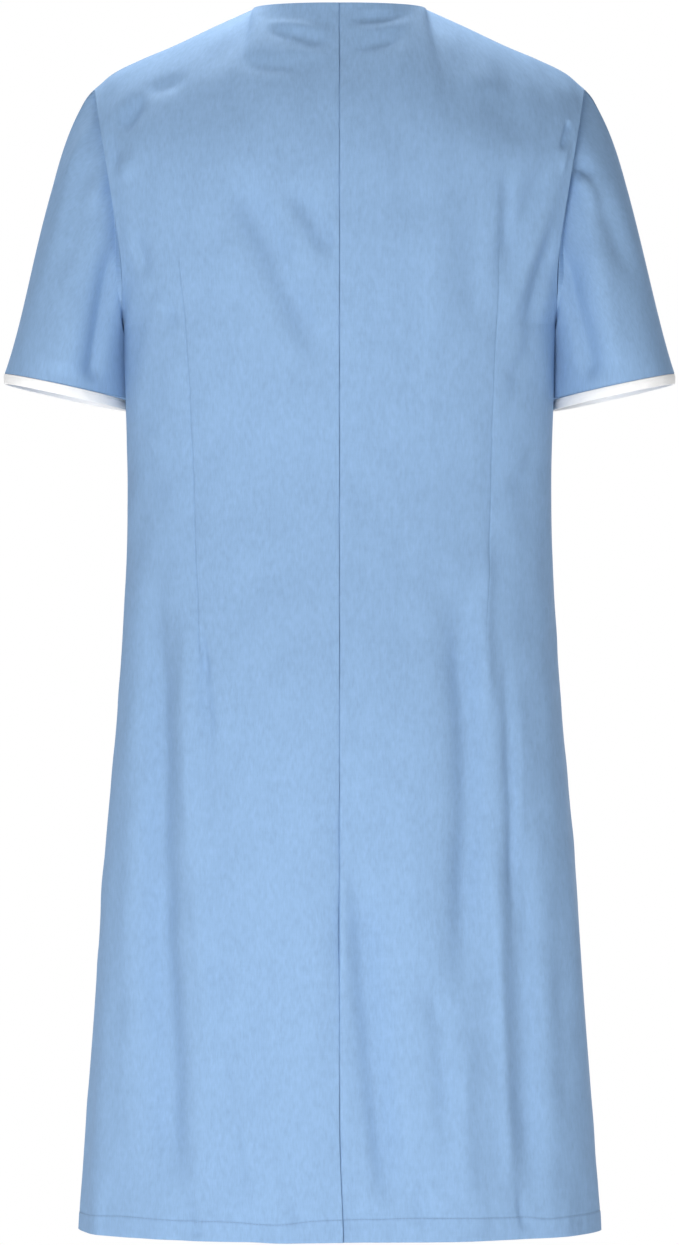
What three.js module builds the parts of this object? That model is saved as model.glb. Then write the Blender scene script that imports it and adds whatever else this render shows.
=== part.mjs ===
// Nurse uniform dress: fitted body with darts, knee-length A-line skirt, set-in short sleeves with
// white bands, plain V neck and a buttoned front. It stands hollow, as if worn, with no wearer.
// Millimetres, +Z up, front towards -Y, wearer's left towards +X.
// The origin is on the centre plane, level with the middle of the two shoulder seams.
import * as THREE from 'three';

// ---- driving sizes ----
const wall = 1.2; // thickness of the cloth walls
const seamGap = 0.3; // space between two pieces at a seam
const hemHeight = -961;
const underarmHeight = -230;
const sideY = -5; // the side seams, at the widest part of each section
const shoulderY = -8; // the shoulder seams, along the top of the shoulders
const neckHalfWidth = 70;
const neckHeight = 27.5;
const napeY = 50; // back edge of the neck opening
const shoulderTipX = 198;
const napeRound = 2.4; // how square the back neck edge is in plan
const bodyRound = 2.25; // exponent of the oval body sections, 2 is an ellipse
const veeHeight = -158; // lower corner of the neck opening, on the front edge
const veeY = -126.5;
const veeBend = 0.5; // how fast the neck edge leaves the chest towards the shoulder
const veeRise = 1.12; // above 1, the neck edge starts flatter than it ends
const lapX = 15; // how far each front passes the centre line
const underLap = 3.0; // the left front lies this much further in, below the right front
const lapFade = 40; // the left front comes back to the body's form within this distance
const upperReach = 0.55; // the part of the way up that keeps the lean of the level rows
const shoulderReach = 0.42; // the part of the way in that the cloth runs level at the shoulder seam
const shoulderDrop = 0.06; // the part of the way down that it falls over that stretch

// ---- rows and columns of a panel ----
const skirtRows = 20;
const armholeRows = 5;
const shoulderRows = 7;
const neckColumns = 4; // from the centre line to the neck point
const dartColumn = 6;
const panelColumns = 12;

// Body sections, from the hem up to the level of the shoulder blades. The skirt widens to the hem.
const bodySections = [
  { height: -961, halfWidth: 211.4, backY: 116, frontY: -130 },
  { height: -881, halfWidth: 206.0, backY: 118, frontY: -131 },
  { height: -768, halfWidth: 197.6, backY: 119, frontY: -132 },
  { height: -654, halfWidth: 190.0, backY: 119, frontY: -133 },
  { height: -541, halfWidth: 180.0, backY: 114, frontY: -130 },
  { height: -428, halfWidth: 173.0, backY: 96, frontY: -118 },
  { height: -355, halfWidth: 171.7, backY: 89, frontY: -119 },
  { height: -290, halfWidth: 173.4, backY: 92, frontY: -132 },
  { height: -230, halfWidth: 175.0, backY: 97, frontY: -138 },
  { height: -170, halfWidth: 175.0, backY: 101, frontY: -129 },
  { height: -120, halfWidth: 175.0, backY: 100, frontY: -108 },
];

// The top of the shoulder, from the neck point to the shoulder tip.
const shoulderLine = [
  { x: 70, height: 27.5 },
  { x: 100, height: 14 },
  { x: 135, height: -2.5 },
  { x: 160, height: -13 },
  { x: 184, height: -25 },
  { x: 198, height: -37.5 },
];

// Edge of the armhole below the level where it stands furthest from the side seam.
const backArmhole = [
  { height: -230, x: 175 },
  { height: -186, x: 175 },
  { height: -158, x: 178 },
  { height: -120, x: 184 },
];
const frontArmhole = [
  { height: -230, x: 175 },
  { height: -205, x: 173 },
  { height: -176, x: 172 },
];

// Distance of the long darts from the centre, and how far their stitching pulls the cloth in.
const backDart = [
  { height: -961, x: 140, pull: 0 },
  { height: -600, x: 124, pull: 0 },
  { height: -520, x: 117, pull: 0 },
  { height: -480, x: 116, pull: 1.6 },
  { height: -400, x: 118, pull: 2.6 },
  { height: -300, x: 122, pull: 2.2 },
  { height: -205, x: 127, pull: 1.2 },
  { height: -180, x: 128, pull: 0 },
  { height: -120, x: 130, pull: 0 },
];
const frontDart = [
  { height: -961, x: 136, pull: 0 },
  { height: -600, x: 108, pull: 0 },
  { height: -520, x: 98, pull: 0 },
  { height: -480, x: 96, pull: 1.6 },
  { height: -400, x: 95, pull: 2.6 },
  { height: -330, x: 94, pull: 1.8 },
  { height: -290, x: 94, pull: 0 },
  { height: -170, x: 104, pull: 0 },
];

// The largest folds. Each runs from its upper end to its lower end, and rises from or sinks into
// the panel by its depth at the lower end.
const foldEnding = 90; // a fold dies out within this height below its lower end
const folds = [
  { panel: 'back_left', topX: 138, topZ: -500, lowX: 158, lowZ: -961, halfWidth: 24, depth: -4.5 },
  { panel: 'back_left', topX: 106, topZ: -520, lowX: 88, lowZ: -961, halfWidth: 22, depth: -3 },
  { panel: 'back_left', topX: 40, topZ: -560, lowX: 52, lowZ: -961, halfWidth: 34, depth: 3 },
  { panel: 'back_right', topX: 90, topZ: -440, lowX: 108, lowZ: -780, halfWidth: 26, depth: -4 },
  { panel: 'back_right', topX: 136, topZ: -520, lowX: 152, lowZ: -961, halfWidth: 20, depth: -4 },
  { panel: 'back_right', topX: 8, topZ: -680, lowX: 30, lowZ: -961, halfWidth: 24, depth: -4 },
  { panel: 'front_left', topX: 100, topZ: -500, lowX: 128, lowZ: -961, halfWidth: 26, depth: -4.5 },
  { panel: 'front_left', topX: 60, topZ: -560, lowX: 66, lowZ: -961, halfWidth: 28, depth: 3.5 },
  { panel: 'front_right', topX: 104, topZ: -490, lowX: 120, lowZ: -961, halfWidth: 24, depth: -4.5 },
  { panel: 'front_right', topX: 150, topZ: -600, lowX: 164, lowZ: -961, halfWidth: 22, depth: -3 },
  { panel: 'front_right', topX: 52, topZ: -600, lowX: 64, lowZ: -961, halfWidth: 30, depth: 3 },
];

// ---- sleeve sizes ----
const sleeveRows = 12;
const cuffCentre = new THREE.Vector2(222.3, -25);
const cuffHalfWidth = 48;
const cuffHalfDepth = 68;
const cuffTurn = THREE.MathUtils.degToRad(15); // front end of the cuff turned in towards the body
const cuffOuterX = 272;
const cuffOuterHeight = -268; // lower end of the blue cloth, at its outer end
const cuffSlope = 0.21; // the cuff falls by this much for each millimetre towards the body
const capSpread = 0.6; // how strongly the sleeve head leaves the armhole sideways
const capReach = 0.24; // the part of a column's length that follows the sleeve head's direction
const cuffReach = 0.32; // the part of a column's length that runs straight into the cuff
const bandDepth = 8.7;
const bandWall = 1.6;
const bandRise = 0.3; // the band stands this much proud of the sleeve

// ---- buttons ----
const buttonCount = 8;
const buttonTop = -186;
const buttonPitch = 90;
const buttonRadius = 8;
const buttonSides = 24;
const buttonSeat = 0.8; // space between a button and the cloth below its centre
// Half section of a button, from its axis: flat back, rounded rim, sunk middle.
const buttonProfile = [
  { radius: 0, height: 0 },
  { radius: 6.6, height: 0 },
  { radius: 7.8, height: 0.7 },
  { radius: 8.0, height: 1.4 },
  { radius: 7.4, height: 2.2 },
  { radius: 6.4, height: 2.4 },
  { radius: 5.4, height: 1.9 },
  { radius: 0, height: 1.8 },
];

// ---- colours ----
const blueCloth = { color: 0x8fb9e0, roughness: 0.8, metalness: 0 };
const whiteCloth = { color: 0xf2f1ef, roughness: 0.85, metalness: 0 };
const whitePlastic = { color: 0xeef0f2, roughness: 0.35, metalness: 0 };

// ---- small tools ----
const mix = (a, b, t) => a + (b - a) * t;
const smooth = (t) => t * t * (3 - 2 * t);
const clamp01 = (t) => Math.min(1, Math.max(0, t));

// Smooth reading of one column of a table whose first named column is its height or x.
function read(table, key, at, by = 'height') {
  const rows = [...table].sort((p, q) => p[by] - q[by]);
  if (at <= rows[0][by]) return rows[0][key];
  const last = rows.length - 1;
  if (at >= rows[last][by]) return rows[last][key];
  const i = rows.findIndex((row) => row[by] > at) - 1;
  const slope = (k) => {
    const lo = rows[Math.max(0, k - 1)];
    const hi = rows[Math.min(last, k + 1)];
    return (hi[key] - lo[key]) / (hi[by] - lo[by]);
  };
  const span = rows[i + 1][by] - rows[i][by];
  const t = (at - rows[i][by]) / span;
  const rise = t * t * (3 - 2 * t);
  const leave = t * (1 - t) * (1 - t) * span * slope(i);
  const arrive = t * t * (1 - t) * span * slope(i + 1);
  return mix(rows[i][key], rows[i + 1][key], rise) + leave - arrive;
}

const bezier = (a, b, c, d, t) => {
  const s = 1 - t;
  const point = a.clone().multiplyScalar(s * s * s);
  point.addScaledVector(b, 3 * s * s * t);
  point.addScaledVector(c, 3 * s * t * t);
  return point.addScaledVector(d, t * t * t);
};

// ---- the two kinds of panel ----
const kinds = {
  back: {
    sign: 1,
    level: -120, // where the armhole stands furthest from the side seam, and the upper rows begin
    armholeY: 45,
    centre: 'backY',
    armhole: backArmhole,
    dart: backDart,
    firstX: seamGap / 2,
  },
  front: {
    sign: -1,
    level: -176,
    armholeY: -50,
    centre: 'frontY',
    armhole: frontArmhole,
    dart: frontDart,
    firstX: -lapX,
  },
};

// Point of an oval section: y from x, with the section's half width and its depth from the side seam.
const sectionY = (x, halfWidth, depth) =>
  sideY + depth * (1 - Math.abs(x / halfWidth) ** bodyRound) ** (1 / bodyRound);

// One level row of a panel, from the centre line to the side seam or the armhole.
function levelRow(kind, height, edgeX, edgeY) {
  const depth = read(bodySections, kind.centre, height) - sideY;
  const edgeShare = Math.abs((edgeY - sideY) / depth) ** bodyRound;
  const halfWidth = edgeX / (1 - edgeShare) ** (1 / bodyRound);
  const turn = (x) => Math.asin((x / halfWidth) ** (bodyRound / 2));
  const dartX = read(kind.dart, 'x', height);
  const dartTurn = turn(dartX);
  const edgeTurn = turn(edgeX);
  const row = [];
  for (let i = 0; i <= panelColumns; i++) {
    let x = mix(kind.firstX, dartX, i / dartColumn);
    if (i > dartColumn) {
      const t = (i - dartColumn) / (panelColumns - dartColumn);
      x = halfWidth * Math.sin(mix(dartTurn, edgeTurn, t)) ** (2 / bodyRound);
    }
    const point = new THREE.Vector3(x, sectionY(x, halfWidth, depth), height);
    if (i === panelColumns) point.set(edgeX, edgeY, height);
    row.push(point);
  }
  return row;
}

// Upper edge of a panel: the neck edge to the neck point, then the shoulder seam to its tip.
function topEdge(kind) {
  const edge = [];
  for (let i = 0; i <= panelColumns; i++) {
    if (i < neckColumns && kind.sign > 0) {
      const turn = (i / neckColumns) * (Math.PI / 2);
      const x = Math.max(kind.firstX, neckHalfWidth * Math.sin(turn) ** (2 / napeRound));
      const y = mix(shoulderY, napeY, Math.cos(turn) ** (2 / napeRound));
      edge.push(new THREE.Vector3(x, y, neckHeight));
    } else if (i < neckColumns) {
      const t = i / neckColumns;
      const x = mix(-lapX, neckHalfWidth, t);
      const y = mix(shoulderY, veeY, (1 - t) ** veeBend);
      edge.push(new THREE.Vector3(x, y, mix(veeHeight, neckHeight, t ** veeRise)));
    } else {
      const t = (i - neckColumns) / (panelColumns - neckColumns);
      const x = mix(neckHalfWidth, shoulderTipX, t);
      const y = shoulderY + (kind.sign * seamGap) / 2;
      edge.push(new THREE.Vector3(x, y, read(shoulderLine, 'height', x, 'x')));
    }
  }
  return edge;
}

// All rows of a panel, from the hem up. The upper rows follow curves that leave the level row
// straight up and come over the shoulder level, and that run straight to the neck edge.
function panelRows(kind) {
  const rows = [];
  const seamY = sideY + (kind.sign * seamGap) / 2;
  for (let k = 0; k <= skirtRows; k++) {
    const height = mix(hemHeight, underarmHeight, k / skirtRows);
    rows.push(levelRow(kind, height, read(bodySections, 'halfWidth', height), seamY));
  }
  for (let k = 1; k <= armholeRows; k++) {
    const turn = (k / armholeRows) * (Math.PI / 2);
    const height = mix(kind.level, underarmHeight, Math.cos(turn));
    const y = mix(seamY, kind.armholeY, Math.sin(turn));
    rows.push(levelRow(kind, height, read(kind.armhole, 'x', height), y));
  }
  const [below, base] = rows.slice(-2);
  const edge = topEdge(kind);
  const leaving = base.map((point, i) => {
    const lean = point.clone().sub(below[i]);
    return point.clone().addScaledVector(lean, (upperReach * (edge[i].z - point.z)) / lean.z);
  });
  const arriving = edge.map((point, i) => {
    const over = smooth(clamp01(i / neckColumns));
    const straight = point.clone().lerp(base[i], 1 / 3);
    const inY = mix(point.y, base[i].y, shoulderReach);
    const level = new THREE.Vector3(point.x, inY, mix(point.z, base[i].z, shoulderDrop));
    return straight.lerp(level, over);
  });
  for (let k = 1; k <= shoulderRows; k++) {
    const t = k / shoulderRows;
    rows.push(base.map((point, i) => bezier(point, leaving[i], arriving[i], edge[i], t)));
  }
  return rows;
}

// How far the cloth of a panel stands out, or in, at a point: its dart and its folds.
function relief(name, kind, x, height, column) {
  let out = column === dartColumn ? -read(kind.dart, 'pull', height) : 0;
  for (const fold of folds.filter((row) => row.panel === name)) {
    const t = clamp01((fold.topZ - height) / (fold.topZ - fold.lowZ));
    const across = (x - mix(fold.topX, fold.lowX, t)) / fold.halfWidth;
    const ending = 1 - smooth(clamp01((fold.lowZ - height) / foldEnding));
    out += fold.depth * Math.sqrt(smooth(t)) * ending * Math.exp(-across * across);
  }
  return out;
}

// Outward normals of a grid of points, as averages over its cells.
function gridNormals(rows, closed) {
  const count = rows[0].length;
  const normals = rows.map((row) => row.map(() => new THREE.Vector3()));
  for (let k = 0; k < rows.length - 1; k++) {
    for (let i = 0; i < (closed ? count : count - 1); i++) {
      const j = (i + 1) % count;
      const across = rows[k + 1][j].clone().sub(rows[k][i]);
      const back = rows[k + 1][i].clone().sub(rows[k][j]);
      const normal = across.cross(back);
      normals[k][i].add(normal);
      normals[k][j].add(normal);
      normals[k + 1][i].add(normal);
      normals[k + 1][j].add(normal);
    }
  }
  normals.flat().forEach((normal) => normal.normalize());
  return normals;
}

// A closed wall: the grid of points is its outer face, and the inner face lies one thickness in.
function wallGeometry(rows, normals, thickness, closed) {
  const count = rows[0].length;
  const inner = rows.map((row, k) =>
    row.map((point, i) => point.clone().addScaledVector(normals[k][i], -thickness)));
  const positions = [...rows.flat(), ...inner.flat()].flatMap((point) => point.toArray());
  const offset = rows.length * count;
  const index = [];
  const quad = (a, b, c, d) => index.push(a, b, c, a, c, d);
  const last = rows.length - 1;
  for (let k = 0; k < last; k++) {
    for (let i = 0; i < (closed ? count : count - 1); i++) {
      const j = (i + 1) % count;
      const [a, b] = [k * count + i, k * count + j];
      const [c, d] = [b + count, a + count];
      quad(a, b, c, d);
      quad(offset + a, offset + d, offset + c, offset + b);
    }
  }
  for (let i = 0; i < (closed ? count : count - 1); i++) {
    const j = (i + 1) % count;
    quad(i, offset + i, offset + j, j);
    const top = last * count;
    quad(top + i, top + j, offset + top + j, offset + top + i);
  }
  for (let k = 0; k < last && !closed; k++) {
    const [a, d] = [k * count, (k + 1) * count];
    quad(a, d, offset + d, offset + a);
    const [b, c] = [a + count - 1, d + count - 1];
    quad(b, offset + b, offset + c, c);
  }
  const geometry = new THREE.BufferGeometry();
  geometry.setAttribute('position', new THREE.Float32BufferAttribute(positions, 3));
  geometry.setIndex(index);
  return geometry;
}

const mirrored = (rows) => rows.map((row) => row.map((p) => new THREE.Vector3(-p.x, p.y, p.z)));
const turned = (rows) => rows.map((row) => [...row].reverse());

// A panel of the body, on the wearer's left, or mirrored to the right.
function panel(name, kind, onLeft) {
  const rows = panelRows(kind);
  const flip = kind.sign > 0; // columns run from the centre, so a left back is turned to face out
  const base = gridNormals(rows, false);
  if (flip) base.flat().forEach((normal) => normal.negate());
  rows.forEach((row, k) => row.forEach((point, i) => {
    point.addScaledVector(base[k][i], relief(name, kind, point.x, point.z, i));
  }));
  if (name === 'front_left') {
    rows.forEach((row, k) => row.forEach((point, i) => {
      const under = 1 - smooth(clamp01((point.x - lapX) / lapFade));
      point.addScaledVector(base[k][i], -underLap * under);
    }));
  }
  const normals = gridNormals(rows, false);
  if (flip) normals.flat().forEach((normal) => normal.negate());
  normals.forEach((row, k) => {
    row[0].setX(0).normalize();
    if (k <= skirtRows) row[panelColumns].setY(0).normalize();
  });
  normals[normals.length - 1].forEach((normal, i) => {
    if (i >= neckColumns) normal.setY(0).normalize();
  });
  return { rows, normals, flip, onLeft };
}

function panelGeometry({ rows, normals, flip, onLeft }) {
  let [points, facing] = [rows, normals];
  if (!onLeft) [points, facing] = [mirrored(points), mirrored(facing)];
  if (flip === onLeft) [points, facing] = [turned(points), turned(facing)];
  return wallGeometry(points, facing, wall, false);
}

// Closed loop of the armhole edge, from the underarm up the back, over the tip and down the front,
// with a small step away from the panels so that the sleeve clears them.
function armholeLoop(back, front) {
  const edge = [];
  const take = (side, k) => {
    const column = side.rows.map((row) => row[panelColumns]);
    const along = column[Math.min(column.length - 1, k + 1)].clone().sub(column[Math.max(0, k - 1)]);
    const normal = side.normals[k][panelColumns];
    const away = side.flip ? normal.clone().cross(along) : along.clone().cross(normal);
    away.normalize();
    const point = column[k].clone().addScaledVector(away, seamGap).addScaledVector(normal, seamGap);
    edge.push({ point, away });
  };
  const topRow = skirtRows + armholeRows + shoulderRows;
  for (let k = skirtRows; k <= topRow; k++) take(back, k);
  for (let k = topRow - 1; k > skirtRows; k--) take(front, k);
  return edge;
}

const cuffHeight = (x) => cuffOuterHeight - cuffSlope * (cuffOuterX - x);

// Loop of the sleeve's lower end: a turned ellipse on a sloping plane, starting at the inner side.
function cuffLoop(count) {
  const loop = [];
  for (let i = 0; i < count; i++) {
    const turn = Math.PI - (i / count) * Math.PI * 2;
    const point = new THREE.Vector2(cuffHalfWidth * Math.cos(turn), cuffHalfDepth * Math.sin(turn));
    point.rotateAround(new THREE.Vector2(), -cuffTurn).add(cuffCentre);
    loop.push(new THREE.Vector3(point.x, point.y, cuffHeight(point.x)));
  }
  return loop;
}

// The sleeve, from the armhole loop to its lower end, as one curve for each point of the loop.
function sleeveColumns(loop) {
  const cuff = cuffLoop(loop.length);
  const centre = loop.reduce((sum, { point }) => sum.add(point), new THREE.Vector3());
  centre.divideScalar(loop.length);
  const axis = new THREE.Vector3(cuffCentre.x, cuffCentre.y, cuffHeight(cuffCentre.x)).sub(centre);
  axis.normalize();
  return loop.map(({ point: start }, i) => {
    const end = cuff[i];
    const length = start.distanceTo(end);
    const head = (1 - Math.cos((i / loop.length) * Math.PI * 2)) / 2;
    const leaving = axis.clone().add(new THREE.Vector3(capSpread * head, 0, 0)).normalize();
    const chord = end.clone().sub(start).normalize();
    const b = start.clone().addScaledVector(leaving, capReach * length);
    const c = end.clone().addScaledVector(chord, -cuffReach * length);
    return (t) => bezier(start, b, c, end, t);
  });
}

// The band carries on straight down from the sleeve's end.
function bandRows(sleeveEnd) {
  const drops = [seamGap, bandDepth / 2, bandDepth];
  return drops.map((drop) => sleeveEnd.map((p) => new THREE.Vector3(p.x, p.y, p.z - drop)));
}

// A tube of cloth. Its lower end is square, and at a seam its wall never leans towards the panel.
function tubeGeometry(rows, thickness, proud, onLeft, seam = []) {
  const normals = gridNormals(rows, true);
  normals[rows.length - 1].forEach((normal) => normal.setZ(0).normalize());
  seam.forEach(({ away }, i) => {
    const normal = normals[0][i];
    normal.addScaledVector(away, -Math.max(0, normal.dot(away))).normalize();
  });
  const outer = rows.map((row, k) => row.map((p, i) => p.clone().addScaledVector(normals[k][i], proud)));
  let [points, facing] = [outer, normals];
  if (!onLeft) [points, facing] = [turned(mirrored(points)), turned(mirrored(facing))];
  return wallGeometry(points, facing, thickness, true);
}

// ---- the dress ----
const dress = new THREE.Group();

function add(name, geometry, finish) {
  const mesh = new THREE.Mesh(geometry, new THREE.MeshStandardMaterial(finish));
  mesh.name = name;
  dress.add(mesh);
  return mesh;
}

const panels = {};
for (const kindName of ['back', 'front']) {
  for (const side of ['left', 'right']) {
    const name = `${kindName}_${side}`;
    panels[name] = panel(name, kinds[kindName], side === 'left');
    add(name, panelGeometry(panels[name]), blueCloth);
  }
}

for (const side of ['left', 'right']) {
  const loop = armholeLoop(panels[`back_${side}`], panels[`front_${side}`]);
  const columns = sleeveColumns(loop);
  const rows = Array.from({ length: sleeveRows + 1 }, (_, k) =>
    columns.map((column) => column(k / sleeveRows)));
  add(`sleeve_${side}`, tubeGeometry(rows, wall, 0, side === 'left', loop), blueCloth);
  const band = tubeGeometry(bandRows(rows[sleeveRows]), bandWall, bandRise, side === 'left');
  add(`cuff_band_${side}`, band, whiteCloth);
}

// Buttons stand on the right front, on the centre line, square to the cloth.
const buttonGeometry = new THREE.LatheGeometry(
  buttonProfile.map((row) => new THREE.Vector2(row.radius, row.height)), buttonSides);
for (let i = 0; i < buttonCount; i++) {
  const height = buttonTop - i * buttonPitch;
  const [above, here, below] = [buttonRadius, 0, -buttonRadius].map((step) =>
    read(bodySections, 'frontY', height + step));
  const facing = new THREE.Vector3(0, -1, (above - below) / (2 * buttonRadius)).normalize();
  const hollow = Math.max(0, here - (above + below) / 2);
  const button = add(`button_${i + 1}`, buttonGeometry, whitePlastic);
  button.quaternion.setFromUnitVectors(new THREE.Vector3(0, 1, 0), facing);
  button.position.set(0, here, height).addScaledVector(facing, buttonSeat + hollow);
}

export default dress;
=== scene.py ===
"""Looks of a nurse uniform dress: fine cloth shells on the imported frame's form, with seams, darts,
creases, hem, white sleeve bands, sewn buttons and stitching, in a plain studio.

The shapes are worked out in the pattern's millimetres, +Z up, front towards -Y and the wearer's
left towards +X, and are laid into the frame by one scale that the frame's own box gives.
"""

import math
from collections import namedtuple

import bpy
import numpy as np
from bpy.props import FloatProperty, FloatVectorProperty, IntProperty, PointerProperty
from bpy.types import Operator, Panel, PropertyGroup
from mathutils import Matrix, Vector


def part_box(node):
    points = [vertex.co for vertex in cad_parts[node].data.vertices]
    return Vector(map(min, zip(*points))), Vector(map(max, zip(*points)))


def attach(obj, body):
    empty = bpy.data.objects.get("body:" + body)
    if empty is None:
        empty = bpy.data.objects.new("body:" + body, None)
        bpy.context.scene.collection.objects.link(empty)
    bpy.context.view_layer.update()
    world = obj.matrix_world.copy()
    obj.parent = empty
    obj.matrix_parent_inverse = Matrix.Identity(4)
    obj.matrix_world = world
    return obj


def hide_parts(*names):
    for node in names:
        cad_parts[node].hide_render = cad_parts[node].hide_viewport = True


bl_info = {
    "name": "Nurse uniform dress",
    "version": (1, 0, 0),
    "blender": (4, 5, 0),
    "location": "3D View > Sidebar > Dress",
    "description": "Builds the cloth, trimmings and studio of a nurse uniform dress",
    "category": "Add Mesh",
}

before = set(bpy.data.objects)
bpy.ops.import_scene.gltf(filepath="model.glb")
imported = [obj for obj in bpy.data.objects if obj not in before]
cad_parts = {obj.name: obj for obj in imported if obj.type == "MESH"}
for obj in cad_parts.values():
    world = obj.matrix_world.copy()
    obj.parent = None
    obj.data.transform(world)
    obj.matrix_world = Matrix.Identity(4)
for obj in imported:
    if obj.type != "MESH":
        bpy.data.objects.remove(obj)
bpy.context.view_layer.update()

# ---------------------------------------------------------------- pattern sizes, in millimetres
HEM_HEIGHT = -961
UNDERARM_HEIGHT = -230
NECK_HEIGHT = 27.5
NECK_HALF_WIDTH = 70
NAPE_Y = 50
NAPE_ROUND = 2.4
SHOULDER_Y = -8
SHOULDER_TIP_X = 198
SIDE_Y = -5
BODY_ROUND = 2.25
VEE_HEIGHT = -158
VEE_Y = -126.5
VEE_BEND = 0.5
VEE_RISE = 1.12
LAP_X = 15
UNDER_LAP = 3.0
LAP_FADE = 40
UPPER_REACH = 0.55
SHOULDER_REACH = 0.42
SHOULDER_DROP = 0.06
SEAM_GAP = 0.3
SLEEVE_TUCK = 14  # how far a sleeve sits behind the body's edge, halfway up the armhole
SEAM_LEAN = 0.7  # how far the hidden edges of a seam lean over, so that it is closed to light
SEAM_SLIT = 0.04  # what stays open between the hidden edges of the centre seam
HEM_DRIFT = 3.0  # how far the foot of the centre seam swings aside

# Places on a panel: rows run up from the hem, columns run round from the centre line.
SKIRT_ROWS = 20
LEVEL_ROWS = 25
TOP_ROW = 32
NECK_COLUMNS = 4
DART_COLUMN = 6
SIDE_COLUMN = 12


def table(names, *rows):
    """Named columns of a short table, as arrays sorted by the first column."""
    values = np.array(sorted(rows), dtype=float)
    return dict(zip(names.split(), values.T))


BODY = table(
    "height half_width back_y front_y",
    (-961, 211.4, 116, -130),
    (-881, 206.0, 118, -131),
    (-768, 197.6, 119, -132),
    (-654, 190.0, 119, -133),
    (-541, 180.0, 114, -130),
    (-428, 173.0, 96, -118),
    (-355, 171.7, 89, -119),
    (-290, 173.4, 92, -132),
    (-230, 175.0, 97, -138),
    (-170, 175.0, 101, -129),
    (-120, 175.0, 100, -108),
)
SHOULDER_LINE = table(
    "x height", (70, 27.5), (100, 14), (135, -2.5), (160, -13), (184, -25), (198, -37.5))
BACK_ARMHOLE = table("height x", (-230, 175), (-186, 175), (-158, 178), (-120, 184))
FRONT_ARMHOLE = table("height x", (-230, 175), (-205, 173), (-176, 172))

# Line of each long dart, how far its stitching pulls the cloth in, and how strongly its line shows, as a
# groove and as painted shade.
DARTS = {
    "back_left": table(
        "height x pull line",
        (-961, 140, 0, 0), (-600, 120, 0, 0), (-510, 111, 0.2, 0), (-488, 112, 1.6, 1),
        (-457, 113.4, 2.2, 1), (-420, 115.3, 2.6, 1), (-333, 118.2, 2.3, 1),
        (-262, 121.6, 1.6, 1), (-215, 125.4, 1.5, 1), (-184, 128, 0.6, 1),
        (-172, 128.5, 0, 0), (-120, 130, 0, 0)),
    "back_right": table(
        "height x pull line",
        (-961, 140, 0, 0), (-600, 120, 0, 0), (-500, 116.5, 0.4, 0), (-470, 117.3, 1.8, 0.4),
        (-405, 120.6, 2.4, 0.9), (-332, 122.7, 2.3, 0.8), (-289, 123.6, 1.9, 0.7),
        (-215, 127, 1.6, 0.9), (-176, 129.2, 1.4, 0.5), (-160, 129.8, 0.4, 0),
        (-120, 130, 0, 0)),
    "front_left": table(
        "height x pull line",
        (-961, 136, 0, 0), (-600, 108, 0, 0), (-520, 98, 0, 0), (-490, 96.5, 1.4, 1),
        (-400, 95, 2.6, 1), (-330, 94, 1.8, 1), (-296, 94, 0.6, 1), (-284, 94.2, 0, 0),
        (-170, 104, 0, 0)),
}
DARTS["front_right"] = DARTS["front_left"]

KINDS = {
    "back": {
        "sign": 1, "level": -120, "armhole_y": 45, "centre": "back_y",
        "armhole": BACK_ARMHOLE, "first_x": SEAM_GAP / 2,
    },
    "front": {
        "sign": -1, "level": -176, "armhole_y": -50, "centre": "front_y",
        "armhole": FRONT_ARMHOLE, "first_x": -LAP_X,
    },
}

# The largest folds: each runs from its top to its low end and deepens on the way.
Fold = namedtuple("Fold", "top_x top_z low_x low_z half_width depth")
FOLD_ENDING = 90
FOLDS = {
    "back_left": (
        Fold(138, -500, 158, -961, 24, -4.5),
        Fold(106, -520, 88, -961, 22, -3),
        Fold(40, -560, 52, -961, 34, 3),
    ),
    "back_right": (
        Fold(90, -440, 108, -780, 26, -4),
        Fold(136, -520, 152, -961, 20, -4),
        Fold(8, -680, 30, -961, 24, -4),
    ),
    "front_left": (
        Fold(100, -500, 128, -961, 26, -4.5),
        Fold(60, -560, 66, -961, 28, 3.5),
    ),
    "front_right": (
        Fold(104, -490, 120, -961, 24, -4.5),
        Fold(150, -600, 164, -961, 22, -3),
        Fold(52, -600, 64, -961, 30, 3),
    ),
}

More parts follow.
